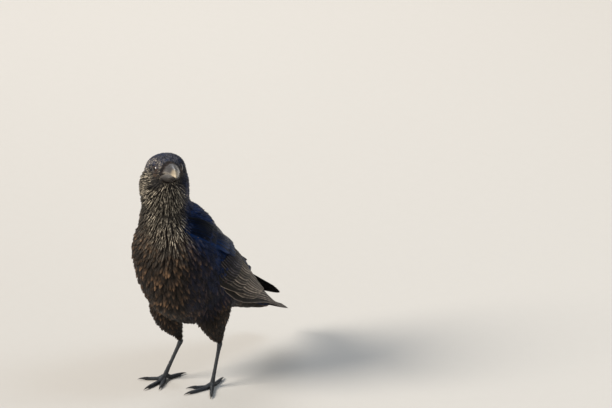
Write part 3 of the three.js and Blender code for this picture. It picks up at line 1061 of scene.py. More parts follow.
class Plot:
    """The roots of the whole coat, with what the skin says at each of them."""

    def __init__(self, body, coat):
        self.chance = np.random.default_rng(coat.seed)
        self.surface = body.surface
        spacing = spacing_field(body, coat)
        self.faces, self.shares, self.places = plant(body, spacing, self.chance)
        self.spacing = self.here(spacing)
        self.regions = self.here(body.regions)
        self.depth = self.here(body.depths)
        self.lie = unit(self.here(body.lie))
        self.normals = unit(self.here(self.surface.normals))
        self.back = self.here(body.back)
        self.streaks = self.here(body.streaks)
        self.wear = self.here(body.wear)
        self.gloss = self.here(body.gloss)
        self.bare = self.here(body.bare) > 0.5
        self.patches = self.unwrapped(body.skin.data)
        self.lie_by_face = unit(body.lie[self.surface.triangles].mean(axis=1))

    def here(self, values):
        """Values on the skin's corners, read at each root."""
        values = values[self.surface.triangles[self.faces]]
        weights = self.shares.reshape(self.shares.shape + (1,) * (values.ndim - 2))
        return (values * weights).sum(axis=1)

    def unwrapped(self, mesh):
        """Each root's place on the skin's unwrap."""
        by_face = read(mesh.uv_layers["skin"].uv, "vector", 2).reshape(-1, 3, 2)
        return (by_face[self.faces] * self.shares[..., None]).sum(axis=1)


def seed_of(name):
    """A small whole number that is always the same for a name."""
    return sum((place + 1) * ord(letter) for place, letter in enumerate(name))


def grow(name, plot, chosen, rows, columns, long=4.2, wide=1.15, lift=1.0, spread=0.16, hold=0.85,
         **shape):
    """
    Adds one piece of coat: feathers on the chosen roots. long and wide are the feathers' length
    and half width, as shares of their spacing, lift is their tips' height, as a share of the
    coat's depth, and spread is how far their directions differ.
    """
    chance = np.random.default_rng(seed_of(name))
    index = np.flatnonzero(chosen)
    count = len(index)
    spacing = plot.spacing[index]
    lengths = spacing * np.broadcast_to(long, len(chosen))[index] * chance.uniform(0.86, 1.16, count)
    half = spacing * wide * chance.uniform(0.9, 1.12, count)
    ways = plot.lie[index]
    sideways = np.cross(plot.normals[index], ways)
    ways = unit(ways + sideways * chance.normal(0, spread, (count, 1)))
    lay = lay_on(plot.surface, plot.places[index], ways, lengths, rows, hold, plot.lie_by_face)
    along = np.linspace(0, 1, rows)[:, None]
    tip_height = plot.depth[index] * lift * chance.uniform(0.78, 1.12, count)
    heights = -0.4 * MM * (1 - along) ** 2 + tip_height * along**0.9
    piece = vanes(name, lay, half, heights, columns, chance, **shape)
    mark_roots(piece, plot.patches[index], count)
    faded = 0.08 + 1.3 * chance.random(count) ** 2.2
    shade_vanes(piece, count, wear=plot.wear[index] * faded,
                gloss=plot.gloss[index], shade=chance.random(count),
                streak=plot.streaks[index] * (0.35 + 0.65 * chance.random(count) ** 0.8))
    finish_piece(piece, body_feathers())


class CROW_OT_coat(bpy.types.Operator):
    """Adds the coat: contour feathers all over the skin, smallest on the face."""

    bl_idname = "crow.coat"
    bl_label = "Coat"

    def execute(self, context):
        plot = Plot(BODY, context.scene.crow_coat)
        height = plot.places[:, 2]
        bare = plot.bare | (distance_to(BILL_ROOT, plot.places) < BILL_CLEAR)
        for side in SIDES:
            bare |= distance_to(eye_seat(side)[0], plot.places) < EYE_CLEAR
        owner = np.where(bare, -1, np.argmax(plot.regions, axis=1))
        on = {node: owner == number for number, node in enumerate(FLESH)}
        back = plot.back > plot.chance.uniform(0.3, 0.7, len(plot.back))
        grow("coat_head", plot, on["head"], 5, 3, long=4.2, wide=0.8, lift=1.0,
             widest=0.45, point=1.6, blunt=0.7, camber=0.2, spread=0.16)
        grow("coat_throat", plot, on["neck"] & ~back, 7, 3, long=5.6, wide=0.72, lift=1.05,
             widest=0.4, point=1.3, blunt=0.85, camber=0.3, fringe=0.05, spread=0.24)
        grow("coat_nape", plot, on["neck"] & back, 7, 3, long=4.8, wide=0.95,
             widest=0.5, point=1.8, blunt=0.6, camber=0.2, spread=0.14)
        low, high = (corner[2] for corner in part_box("trunk"))
        upper = height > low + (high - low) * BREAST_START
        soft = dict(long=5.6, wide=0.86, widest=0.5, point=1.6, blunt=0.7, fringe=0.13, camber=0.24,
                    spread=0.24)
        grow("coat_breast", plot, on["trunk"] & ~back & upper, 7, 5, lift=1.05, **soft)
        grow("coat_belly", plot, on["trunk"] & ~back & ~upper, 7, 5, lift=1.2, **soft)
        grow("coat_back", plot, on["trunk"] & back, 7, 5, long=5.2, wide=1.15,
             camber=0.18, spread=0.12, point=2.0)
        shaggy = 5.2 + 4.5 * ramp(104 * MM, 74 * MM, height)
        for side in SIDES:
            hem = hem_of(side)
            shorter = 1 - 0.5 * ramp(hem + 30 * MM, hem + 8 * MM, height)
            grow(f"coat_thigh_{side}", plot, on[f"thigh_{side}"], 8, 5, long=shaggy * shorter,
                 wide=0.85, lift=1.1, hold=0.6, point=1.3, blunt=0.8, camber=0.24, fringe=0.14,
                 spread=0.24)
        for side in SIDES:
            blade = BODY.blades[side]
            upper_edge = (plot.places - blade.start) @ blade.edge < 0
            front = blade.share_along(plot.places) < np.where(upper_edge, 0.24, 0.18)
            grow(f"coat_wing_{side}", plot, on[f"wing_{side}"] & front, 7, 5, long=4.4, wide=1.15,
                 camber=0.16, spread=0.1, point=2.0)
        return {"FINISHED"}


# --- Blades of wing and tail, measured on their solids ---------------------------------------------

ALONG, ACROSS = 41, 21  # the rows and columns of places on a blade
FIRST_CUT = 16  # the row measured first; the others follow it both ways
TAIL_ROOT = 4  # the row that the tail's coverts stand round
FLIGHT_ROWS = 16  # the rows of a flight feather
SOFT_ROWS = 11  # and of a scapular or a tail covert


class Blade:
    """A wing's or the tail's outer face: a place and normal for each share along and across it."""

    def __init__(self, node, start, end, outwards, edge):
        copy = joined_copy("probe", [node])
        points = corners_of(copy)
        edges = read(copy.data.edges, "vertices", 2, np.int32)
        tree = tree_of(copy.data)
        bpy.data.objects.remove(copy)
        self.start, self.edge = start, edge
        self.length = np.linalg.norm(end - start)
        self.axis = unit(end - start)
        self.along = np.linspace(0.015, 0.985, ALONG)
        self.across = np.linspace(-1, 1, ACROSS)
        grid = np.zeros((ALONG, ACROSS, 3))
        faces = {}
        for row in (*range(FIRST_CUT, ALONG), *range(FIRST_CUT - 1, -1, -1)):
            before = row - 1 if row > FIRST_CUT else row + 1
            last_edge, last_out = faces.get(before, (edge, outwards))
            place = start + (end - start) * self.along[row]
            middle, sideways, half = self.cut(points, edges, place, last_edge)
            out = unit(np.cross(self.axis, sideways))
            out = out if out @ last_out > 0 else -out
            faces[row] = (sideways, out)
            for column, t in enumerate(self.across):
                place = middle + sideways * t * half * 0.97
                hit = cast(tree, place + out * 60 * MM, -out)
                grid[row, column] = tree.find_nearest(Vector(place))[0] if hit is None else hit
        for _ in range(3):
            grid[1:-1] = (grid[:-2] + 2 * grid[1:-1] + grid[2:]) / 4
            grid[:, 1:-1] = (grid[:, :-2] + 2 * grid[:, 1:-1] + grid[:, 2:]) / 4
        self.grid = grid
        normals = np.cross(np.gradient(grid, axis=0), np.gradient(grid, axis=1))
        normals = unit(normals)
        self.normals = normals * np.sign((normals[FIRST_CUT] @ faces[FIRST_CUT][1]).mean())

    def cut(self, points, edges, place, edge):
        """The middle, sideways direction and half width of the solid's cut at a place."""
        height = (points - place) @ self.axis
        first, second = edges.T
        crossed = height[first] * height[second] < 0
        a, b = first[crossed], second[crossed]
        share = (height[a] / (height[a] - height[b]))[:, None]
        outline = points[a] + (points[b] - points[a]) * share
        middle = outline.mean(axis=0)
        sideways = np.linalg.svd(outline - middle)[2][0]
        sideways = sideways if sideways @ edge > 0 else -sideways
        reach = (outline - middle) @ sideways
        return middle + sideways * (reach.max() + reach.min()) / 2, sideways, np.ptp(reach) / 2

    def at(self, along, across):
        """Places and normals for shares along (0 to 1) and across (-1 to 1) the blade."""
        row = np.clip(np.interp(along, self.along, np.arange(ALONG)), 0, ALONG - 1.001)
        column = np.clip(np.interp(across, self.across, np.arange(ACROSS)), 0, ACROSS - 1.001)
        r, c = row.astype(int), column.astype(int)
        u, v = (row - r)[..., None], (column - c)[..., None]
        found = []
        for grid in (self.grid, self.normals):
            found.append(
                grid[r, c] * (1 - u) * (1 - v) + grid[r + 1, c] * u * (1 - v)
                + grid[r, c + 1] * (1 - u) * v + grid[r + 1, c + 1] * u * v)
        past = (along - np.clip(along, self.along[0], self.along[-1]))[..., None]
        beside = (across - np.clip(across, -1, 1))[..., None]
        half_edge = (self.grid[r, -1] - self.grid[r, 0]) / 2
        return found[0] + self.axis * past * self.length + half_edge * beside, unit(found[1])

    def share_along(self, places):
        return (places - self.start) @ self.axis / self.length


def towards_tip(rows):
    """Shares from root to tip, closer together at the tip, which rounds it."""
    return 1 - (1 - np.linspace(0, 1, rows)) ** 1.7


def lay_between(roots, tips, ups, rows, bow):
    """Lays feathers straight from root to tip, bowed a little along their ups."""
    share = towards_tip(rows)[:, None, None]
    spots = roots + (tips - roots) * share + ups * (np.sin(share * math.pi) * bow)
    ways = unit(np.gradient(spots, axis=0))
    ups = unit(ups - ways * dot(np.broadcast_to(ups, spots.shape), ways))
    return Lay(spots, ups, ways)


def lay_on_blade(blade, roots, tips, rows, sunk, bend=0.0):
    """Lays long feathers on a blade: (along, across) of each root and tip, and their depth."""
    share = towards_tip(rows)[:, None]
    roots, tips = np.asarray(roots), np.asarray(tips)
    along = roots[:, 0] + (tips[:, 0] - roots[:, 0]) * share
    across = roots[:, 1] + (tips[:, 1] - roots[:, 1]) * share
    across = across + bend * np.sin(share * math.pi)
    spots, ups = blade.at(along, across)
    spots = spots - ups * np.broadcast_to(sunk, (rows, len(roots)))[..., None]
    ways = unit(np.gradient(spots, axis=0))
    ups = unit(ups - ways * dot(ups, ways))
    return Lay(spots, ups, ways)


def long_feathers(name, blade, roots, tips, sunk, half, chance, wear, gloss, rows=FLIGHT_ROWS,
                  columns=7, bend=0.0, outer=1.0, **shape):
    """
    One piece of long feathers on a blade: roots and tips are shares along and across it, sunk and
    half are each feather's depth under it and half width, in millimetres, and outer is 1 where
    the uncovered edge lies towards the blade's own edge, and -1 where it lies away from it.
    """
    count = len(roots)
    sunk = np.broadcast_to(sunk, (rows, count)) * MM
    lay = lay_on_blade(blade, roots, tips, rows, sunk, bend)
    half = np.broadcast_to(half, count) * MM * chance.uniform(0.95, 1.05, count)
    across = np.cross(lay.ways, lay.ups).reshape(-1, 3).mean(axis=0)
    facing = outer * (1.0 if across @ blade.edge > 0 else -1.0)
    shape = {"camber": 0.1, "tilt": 0.1, **shape}
    piece = vanes(name, lay, half, np.zeros((rows, count)), columns, chance, ridge=0.05,
                  thickness=0.35, facing=facing, cut=0.005, **shape)
    mark_grid(piece, count)
    shade_vanes(piece, count, wear=wear * chance.uniform(0.6, 1.1, count), gloss=gloss,
                shade=chance.uniform(0.15, 0.8, count), streak=0.08)
    return piece


def ends_of(node, foremost, hindmost):
    """The middles of so many of a node's foremost and of its hindmost corners."""
    points = points_of(node)
    order = np.argsort(points[:, 1])
    return points[order[:foremost]].mean(axis=0), points[order[-hindmost:]].mean(axis=0)


def wing_blade(side):
    """A folded wing's outer face, from the shoulder to the tip."""
    away = AWAY[side]
    out, edge = np.array([away, 0.0, 0.9]), np.array([0.6 * away, -0.45, -0.6])
    return Blade(f"wing_{side}", *ends_of(f"wing_{side}", 36, 24), out, edge)


def tail_blade(up):
    """The tail's upper face for 1, or its lower face for -1."""
    out, edge = np.array([0.0, 0.4, 0.9]) * up, np.array([1.0, 0.0, 0.0])
    return Blade("tail", *ends_of("tail", 16, 12), out, edge)


def shares(count):
    return np.linspace(0, 1, count)


class CROW_OT_wings(bpy.types.Operator):
    """Adds both folded wings: primaries, secondaries, tertials and their rows of coverts."""

    bl_idname = "crow.wings"
    bl_label = "Wings"

    def execute(self, context):
        for side in SIDES:
            blade = wing_blade(side)
            BODY.blades[side] = blade
            finish_piece(self.primaries(side, blade), flight_feathers(), (f"wing_{side}",))
            for row in (self.secondaries, self.greater_coverts, self.median_coverts, self.hand_coverts):
                finish_piece(row(side, blade), flight_feathers())
            finish_piece(self.scapulars(side, blade), shoulder_feathers())
        return {"FINISHED"}

    def primaries(self, side, blade):
        """Ten primaries: the inmost lies on top, and the seventh and eighth reach furthest."""
        number = np.arange(10)
        reach = np.array([0.715, 0.755, 0.80, 0.85, 0.905, 0.955, 0.992, 1.0, 0.962, 0.86])
        roots = np.stack([0.20 - 0.012 * number, 0.25 + 0.062 * number], -1)
        tips = np.stack([reach, -0.75 + 0.165 * number], -1)
        sunk = (2.0 + 0.26 * number) * np.linspace(1.3, 0.75, FLIGHT_ROWS)[:, None]
        if side == "right":
            # Held looser, with a blunt tip
            reach = np.array([0.945, 0.965, 0.98, 0.992, 1.0, 1.005, 1.003, 0.995, 0.98, 0.95])
            tips = np.stack([reach, -0.46 + 0.09 * number], -1)
        half = np.array([9.5, 9.5, 9.3, 9.0, 8.7, 8.3, 7.8, 7.0, 6.0, 5.0])
        # Painted reflection: the right wing's primaries are glossier and bluer, as if mirroring sky in shade.
        return long_feathers(
            f"primaries_{side}", blade, roots, tips, sunk, half, chance_for("primaries"),
            bend=0.05 + 0.045 * number, widest=0.35, point=2.6, blunt=0.75, wear=0.9,
            gloss=0.1 if side == "left" else 0.6, tilt=0.14)

    def secondaries(self, side, blade):
        """Nine secondaries and three tertials: the inmost lies on top."""
        share = shares(12)
        reach = np.array(
            [0.545, 0.56, 0.575, 0.595, 0.615, 0.635, 0.655, 0.675, 0.695, 0.705, 0.665, 0.60])
        roots = np.stack([0.16 + 0.20 * share, 0.55 - 1.3 * share], -1)
        tips = np.stack([reach, 0.94 - 1.62 * share], -1)
        sunk = 0.1 + 0.24 * (11 - np.arange(12))
        if side == "right":
            # The looser wing's tertials stand out past its upper edge.
            tips[-3:] = [[0.735, -0.95], [0.725, -1.1], [0.665, -1.5]]
        return long_feathers(
            f"secondaries_{side}", blade, roots, tips, sunk, 8.6 + 2.8 * share,
            chance_for("secondaries"), widest=0.4, point=3.2, blunt=0.55, bend=0.07, wear=1.1,
            gloss=0.0, camber=0.14, tilt=0.16)

    def greater_coverts(self, side, blade):
        """The row that covers the secondaries' roots."""
        share = shares(12)
        roots = np.stack([0.12 + 0.13 * share, 0.62 - 1.25 * share], -1)
        tips = np.stack([0.345 + 0.115 * share, 0.84 - 1.6 * share], -1)
        sunk = -0.5 + 0.12 * (11 - np.arange(12))
        return long_feathers(
            f"greater_coverts_{side}", blade, roots, tips, sunk, 7.0 + 2.0 * share,
            chance_for("greater_coverts"), rows=10, columns=5, bend=0.05, widest=0.5, point=2.6,
            blunt=0.5, wear=1.0, gloss=0.05, camber=0.14, tilt=0.18)

    def median_coverts(self, side, blade):
        """The shorter row before the greater coverts."""
        share = shares(14)
        roots = np.stack([0.08 + 0.10 * share, 0.70 - 1.4 * share], -1)
        tips = np.stack([0.235 + 0.10 * share, 0.86 - 1.65 * share], -1)
        sunk = -1.2 + 0.1 * (13 - np.arange(14))
        return long_feathers(
            f"median_coverts_{side}", blade, roots, tips, sunk, 5.6 + 1.6 * share,
            chance_for("median_coverts"), rows=9, columns=5, bend=0.04, widest=0.5, point=2.4,
            blunt=0.5, wear=0.6, gloss=0.1 + 0.75 * share, camber=0.16, tilt=0.2)

    def hand_coverts(self, side, blade):
        """Primary coverts and the feathers of the alula, low on the wing's front."""
        share = shares(10)
        roots = np.stack([0.05 + 0.04 * share, 0.74 + 0.2 * share], -1)
        tips = np.stack([0.40 - 0.16 * share, 0.90 + 0.08 * share], -1)
        sunk = 0.5 - 0.16 * np.arange(10)
        return long_feathers(
            f"hand_coverts_{side}", blade, roots, tips, sunk, 4.4, chance_for("hand_coverts"),
            rows=9, columns=5, widest=0.4, point=2.4, blunt=0.7, wear=0.9, gloss=0.1, camber=0.14)

    def scapulars(self, side, blade):
        """The glossy shoulder feathers: five rows, rooted in the back, over the wing's start."""
        chance = chance_for("scapulars")
        first = -0.17 if side == "left" else -0.07
        rows, in_row = 5, 9
        roots, tips = [], []
        for row in range(rows):
            start = first + 0.055 * row
            share = shares(in_row) + chance.normal(0, 0.01, in_row)
            roots.append(np.stack([start + 0.01 * share, -0.5 - 1.1 * share], -1))
            tips.append(np.stack([start + 0.15 + 0.02 * share, -0.3 - 1.15 * share], -1))
        roots, tips = np.concatenate(roots), np.concatenate(tips)
        rise = (1.4 + 0.25 * (np.arange(rows * in_row) // in_row))[:, None] * MM
        root_places, outs = blade.at(roots[:, 0], roots[:, 1])
        root_places = on_the_back(root_places, outs, 0.5 * MM, 0.0)
        tip_places, outs = blade.at(tips[:, 0], tips[:, 1])
        tip_places = on_the_back(tip_places, outs, 4.0 * MM, -0.95 - tips[:, 1]) + outs * rise
        return soft_feathers(
            f"scapulars_{side}", root_places, tip_places, outs, 5.4, chance, bow=3.0,
            widest=0.55, point=2.2, blunt=0.55, camber=0.24, fringe=0.03, wear=0.15, gloss=1.0)


def on_the_back(places, outs, over, beyond):
    """Puts places that lie inside the skin, or beyond the blade's edge, a little over the skin."""
    moved = np.array(places)
    beyond = np.broadcast_to(beyond, len(places))
    for index, (place, out) in enumerate(zip(places, outs)):
        hit = cast(BODY.surface.tree, place + out * 40 * MM, -out)
        if hit is None:
            continue
        hit = hit + out * over
        if beyond[index] >= 0 or (hit - place) @ out > 0:
            moved[index] = hit
    return moved


def soft_feathers(name, roots, tips, ups, half, chance, bow, wear, gloss, **shape):
    """One piece of shorter feathers, each laid straight from its root to its tip."""
    count = len(roots)
    lay = lay_between(roots, tips, ups, SOFT_ROWS, bow * MM)
    half = half * MM * chance.uniform(0.85, 1.1, count)
    piece = vanes(name, lay, half, np.zeros((SOFT_ROWS, count)), 7, chance, thickness=0.15,
                  ridge=0.03, **shape)
    mark_grid(piece, count)
    shade_vanes(piece, count, wear=wear * chance.uniform(0.4, 1.2, count), gloss=gloss,
                shade=chance.random(count), streak=0.0)
    return piece


class CROW_OT_tail(bpy.types.Operator):
    """Adds the tail's twelve feathers, the middle pair on top, and the coverts over its root."""

    bl_idname = "crow.tail"
    bl_label = "Tail"

    def execute(self, context):
        above, below = tail_blade(1), tail_blade(-1)
        pair = np.repeat(np.arange(6), 2)
        side = np.tile([-1.0, 1.0], 6)
        roots = np.stack([np.full(12, -0.02), side * (0.08 + 0.10 * pair)], -1)
        tips = np.stack([1.0 - 0.007 * pair**1.5, side * (0.10 + 0.14 * pair)], -1)
        piece = long_feathers(
            "tail_feathers", above, roots, tips, -2.2 + 0.5 * pair, 10.5,
            chance_for("tail_feathers"), widest=0.5, point=2.8, blunt=0.55, wear=0.9, gloss=0.25,
            outer=side)
        finish_piece(piece, flight_feathers(), ("tail",))
        self.coverts("tail_coverts", above, 72, 0.55, wear=0.25, gloss=0.8)
        self.coverts("undertail_coverts", below, 112, 0.5, wear=0.8, gloss=0.0)
        return {"FINISHED"}

    def coverts(self, name, blade, spread, reach, wear, gloss):
        """
        Five rows of soft feathers round the tail's root, growing from the body's end, the last
        the longest. spread is how far they go round, in degrees from the middle of the face, and
        reach says how much longer each row is than the one before.
        """
        chance = chance_for(name)
        sideways = unit(blade.grid[TAIL_ROOT, -1] - blade.grid[TAIL_ROOT, 0])
        up = unit(blade.normals[TAIL_ROOT, ACROSS // 2])
        rows, in_row = 5, 11
        roots, tips, ups = [], [], []
        for row in range(rows):
            angles = np.radians(np.linspace(-spread, spread, in_row) + chance.normal(0, 3, in_row))
            starts = -0.30 + 0.075 * row + chance.normal(0, 0.012, in_row)
            ends = starts + 0.28 + reach * 0.16 * row * (1 - 0.3 * np.sin(angles) ** 2)
            for angle, start, end in zip(angles, starts, ends):
                round_way = sideways * math.sin(angle) + up * math.cos(angle)
                place = blade.start + blade.axis * start * blade.length
                hit = cast(BODY.surface.tree, place + round_way * 60 * MM, -round_way)
                roots.append(place + round_way * 15 * MM if hit is None else hit)
                cut = blade.grid[int(np.clip(end, 0, 1) * (ALONG - 1))]
                middle = cut[ACROSS // 2]
                half = np.linalg.norm(cut[-1] - cut[0]) / 2
                off = (5.0 - 0.5 * row) * MM
                tips.append(middle + sideways * math.sin(angle) * (half + 1.5 * MM)
                            + up * (math.cos(angle) * off - abs(math.sin(angle)) * 1.5 * MM))
                ups.append(round_way)
        piece = soft_feathers(
            name, np.array(roots), np.array(tips), np.array(ups), 6.4, chance, bow=2.0,
            widest=0.5, point=1.8, blunt=0.7, camber=0.2, fringe=0.08, wear=wear, gloss=gloss)
        finish_piece(piece, body_feathers())


# --- Bill ------------------------------------------------------------------------------------------


@kept_material("Horn")
def horn_material(shader, w, colours):
    places = w.places()
    streaks = w.noise(places, 90.0, 4.0, 0.6)
    fine = w.noise(places, 900.0, 3.0, 0.6)
    # The worn colour: real wear on the cutting edges, and wear with a painted highlight at the tip
    worn = w.math("MULTIPLY", w.value("worn"), w.ramp(streaks, 0.25, 0.7, 0.35, 1.0), clamp=True)
    base = w.mix(worn, tuple(colours.horn), tuple(colours.worn_and_highlit_horn))
    base = w.mix(w.ramp(fine, 0.55, 0.8, 0.0, 0.25), base, HORN_FLAKES)
    w.link(base, shader.inputs["Base Color"])
    w.link(w.ramp(streaks, 0.2, 0.8, 0.2, 0.4), shader.inputs["Roughness"])
    w.link(w.bump(w.math("ADD", streaks, w.math("MULTIPLY", fine, 0.35)), 0.45, 0.0006),
           shader.inputs["Normal"])
    shader.inputs["Specular IOR Level"].default_value = 0.8


# The bill's outlines in the head's frame, in millimetres: how far ahead of the head's middle each
# cut is, and the heights and half widths there
BILL_AHEAD = (22, 30, 38, 48, 58, 68, 76, 83, 88)
GAPE_LINE = (-8.5, -6.0, -3.4, -1.6, -1.0, -1.5, -2.6, -4.2, -6.2)
CULMEN = (13.8, 13.8, 13.4, 12.5, 10.9, 8.4, 5.4, 1.4, -4.6)
UPPER_HALF_WIDTH = (15.0, 14.4, 13.3, 11.8, 10.0, 7.9, 5.7, 3.5, 1.1)
KEEL_AHEAD = (22, 30, 38, 48, 58, 66, 74, 80, 84)
KEEL = (-15.2, -14.8, -13.6, -12.2, -10.9, -9.4, -7.5, -5.9, -4.6)
LOWER_HALF_WIDTH = (14.0, 13.4, 12.2, 10.6, 8.7, 6.9, 5.0, 3.0, 0.9)


def rise_of(values, knots, at):
    """A smooth curve through values at the knots, read at the given places."""
    knots, values = np.asarray(knots, float), np.asarray(values, float)
    slopes = np.gradient(values, knots)
    index = np.clip(np.searchsorted(knots, at) - 1, 0, len(knots) - 2)
    width = knots[index + 1] - knots[index]
    t = np.clip((at - knots[index]) / width, 0, 1)
    a, b = values[index], values[index + 1]
    return (
        a * (2 * t**3 - 3 * t**2 + 1) + b * (3 * t**2 - 2 * t**3)
        + width * (slopes[index] * (t**3 - 2 * t**2 + t) + slopes[index + 1] * (t**3 - t**2)))


def shell(name, ahead, middle, half, top, bottom, ridge, rings=44, sides=40):
    """
    A closed bill half: rings across the head's forward line, widest at the middle height. All
    outlines are in millimetres, and ridge sharpens the half's back.
    """
    at = np.linspace(ahead[0], ahead[-1], rings)
    centre = rise_of(middle, ahead, at)[:, None]
    wide = np.maximum(rise_of(half, ahead, at), 0.3)[:, None]
    high = rise_of(top, ahead, at)[:, None]
    low = rise_of(bottom, ahead, at)[:, None]
    angle = np.arange(sides) * 2 * math.pi / sides
    level = np.sin(angle)
    body = np.abs(level) ** ridge
    left = wide * np.sign(np.cos(angle)) * np.abs(np.cos(angle)) ** np.where(level > 0, ridge, 0.92)
    up = centre + np.where(level > 0, (high - centre) * body, -(centre - low) * body)
    forward = np.broadcast_to(at[:, None], left.shape)
    points = from_head(left * MM, forward * MM, up * MM).reshape(-1, 3)
    return ringed(name, points, sides)


class CROW_OT_bill(bpy.types.Operator):
    """Adds the bill: an arched upper half with a hooked tip, and a lower half with its keel."""

    bl_idname = "crow.bill"
    bl_label = "Bill"

    def execute(self, context):
        palate = np.array(GAPE_LINE) - 1.2
        upper = shell("bill_upper_horn", BILL_AHEAD, GAPE_LINE, UPPER_HALF_WIDTH, CULMEN, palate, 1.2)
        gape = rise_of(GAPE_LINE, BILL_AHEAD, np.array(KEEL_AHEAD, float)) - 0.5
        tongue = gape + 0.9
        lower = shell("bill_lower_horn", KEEL_AHEAD, gape, LOWER_HALF_WIDTH, tongue, KEEL, 0.8)
        for piece, node in ((upper, "bill_upper"), (lower, "bill_lower")):
            _, forward, up = to_head(corners_of(piece))
            # The pale tip is wear and a painted highlight; the gape edge is wear
            tip = ramp(73 * MM, 85 * MM, forward)
            gape_edge = 0.35 * ramp(2.2 * MM, 0.4 * MM, np.abs(
                up - rise_of(GAPE_LINE, BILL_AHEAD, forward / MM) * MM))
            add_values(piece.data, "worn", np.clip(0.9 * tip + gape_edge, 0, 1))
            finish_piece(piece, horn_material(), (node,))
        BODY.bill, BODY.lower_bill = upper, lower
        return {"FINISHED"}


class CROW_OT_bristles(bpy.types.Operator):
    """Adds the stiff bristles that lie forward over the bill's root and its nostrils."""

    bl_idname = "crow.bristles"
    bl_label = "Bristles"

    def execute(self, context):
        chance = chance_for("bristles")
        count = context.scene.crow_head.bristles
        upper, lower = self.surface_of(BODY.bill), self.surface_of(BODY.lower_bill)
        self.tuft("bristles", upper, count, chance, (23, 36), (4, 94), (13, 25))
        self.tuft("chin_bristles", lower, count // 2, chance, (24, 34), (78, 178), (7, 14))
        return {"FINISHED"}

    def surface_of(self, piece):
        """A bill half's faces as triangles, for the bristles to lie on."""
        mesh = piece.data.copy()
        shape = bmesh.new()
        shape.from_mesh(mesh)
        bmesh.ops.triangulate(shape, faces=shape.faces)
        shape.to_mesh(mesh)
        shape.free()
        return Surface(mesh)

    def tuft(self, name, surface, count, chance, ahead, round_to, lengths):
        """
        Bristles from roots ahead of the head's middle and at angles round the bill, which are in
        degrees from its ridge.
        """
        away = chance.uniform(0, 1, count)
        side = chance.choice([-1.0, 1.0], count)
        angle = np.radians(round_to[0] + (round_to[1] - round_to[0]) * away)
        low = (1 - np.cos(angle)) / 2
        start = chance.uniform(ahead[0], ahead[1], count) - 4.0 * low
        left = np.sin(angle) * 12.5 * side
        up = -2.5 + np.cos(angle) * 15.5
        roots = from_head(left * MM, start * MM, up * MM)
        ways = FORWARD + LEFT * (side * chance.normal(-0.1, 0.07, count))[:, None]
        ways = ways - UP * (chance.normal(0.08, 0.08, count) * np.sin(angle))[:, None]
        reach = chance.uniform(lengths[0], lengths[1], count) * MM * (1 - 0.25 * low)
        rows = 8
        lay = lay_on(surface, roots, unit(ways), reach, rows, hold=0.95)
        along = shares(rows)[:, None]
        rise = (0.35 + 0.7 * np.sin(along * math.pi * 0.85)) * MM
        piece = vanes(name, lay, chance.uniform(0.2, 0.42, count) * MM,
                      rise * chance.uniform(0.2, 1.2, count), 3, chance, widest=0.25, point=1.1,
                      blunt=0.9, camber=0.5, thickness=0.08)
        mark_grid(piece, count, 20)
        shade_vanes(piece, count, wear=0.5 * chance.random(count), gloss=0.1,
                    shade=chance.random(count), streak=0.0)
        finish_piece(piece, body_feathers())


# --- Eyes ------------------------------------------------------------------------------------------


@kept_material("Eye")
def eye_material(shader, w, colours):
    turn = w.value("off_axis")
    fibres = w.noise(w.places(), 2600.0, 3.0)
    iris = w.mix(w.ramp(fibres, 0.35, 0.65, 0.0, 0.6), tuple(colours.iris), IRIS_FIBRES)
    pupil = w.ramp(turn, 0.5, 0.58, 1.0, 0.0)
    rim = w.ramp(turn, 0.84, 0.98)
    base = w.mix(pupil, iris, PUPIL)
    base = w.mix(rim, base, EYE_RIM)
    w.link(base, shader.inputs["Base Color"])
    shader.inputs["Roughness"].default_value = 0.05
    shader.inputs["Specular IOR Level"].default_value = 0.6


@kept_material("Lids")
def lid_material(shader, w, colours):
    folds = w.noise(w.places(), 1500.0, 3.0)
    w.link(w.mix(folds, *LID_FOLDS), shader.inputs["Base Color"])
    shader.inputs["Roughness"].default_value = 0.5
    w.link(w.bump(folds, 0.6, 0.0003), shader.inputs["Normal"])


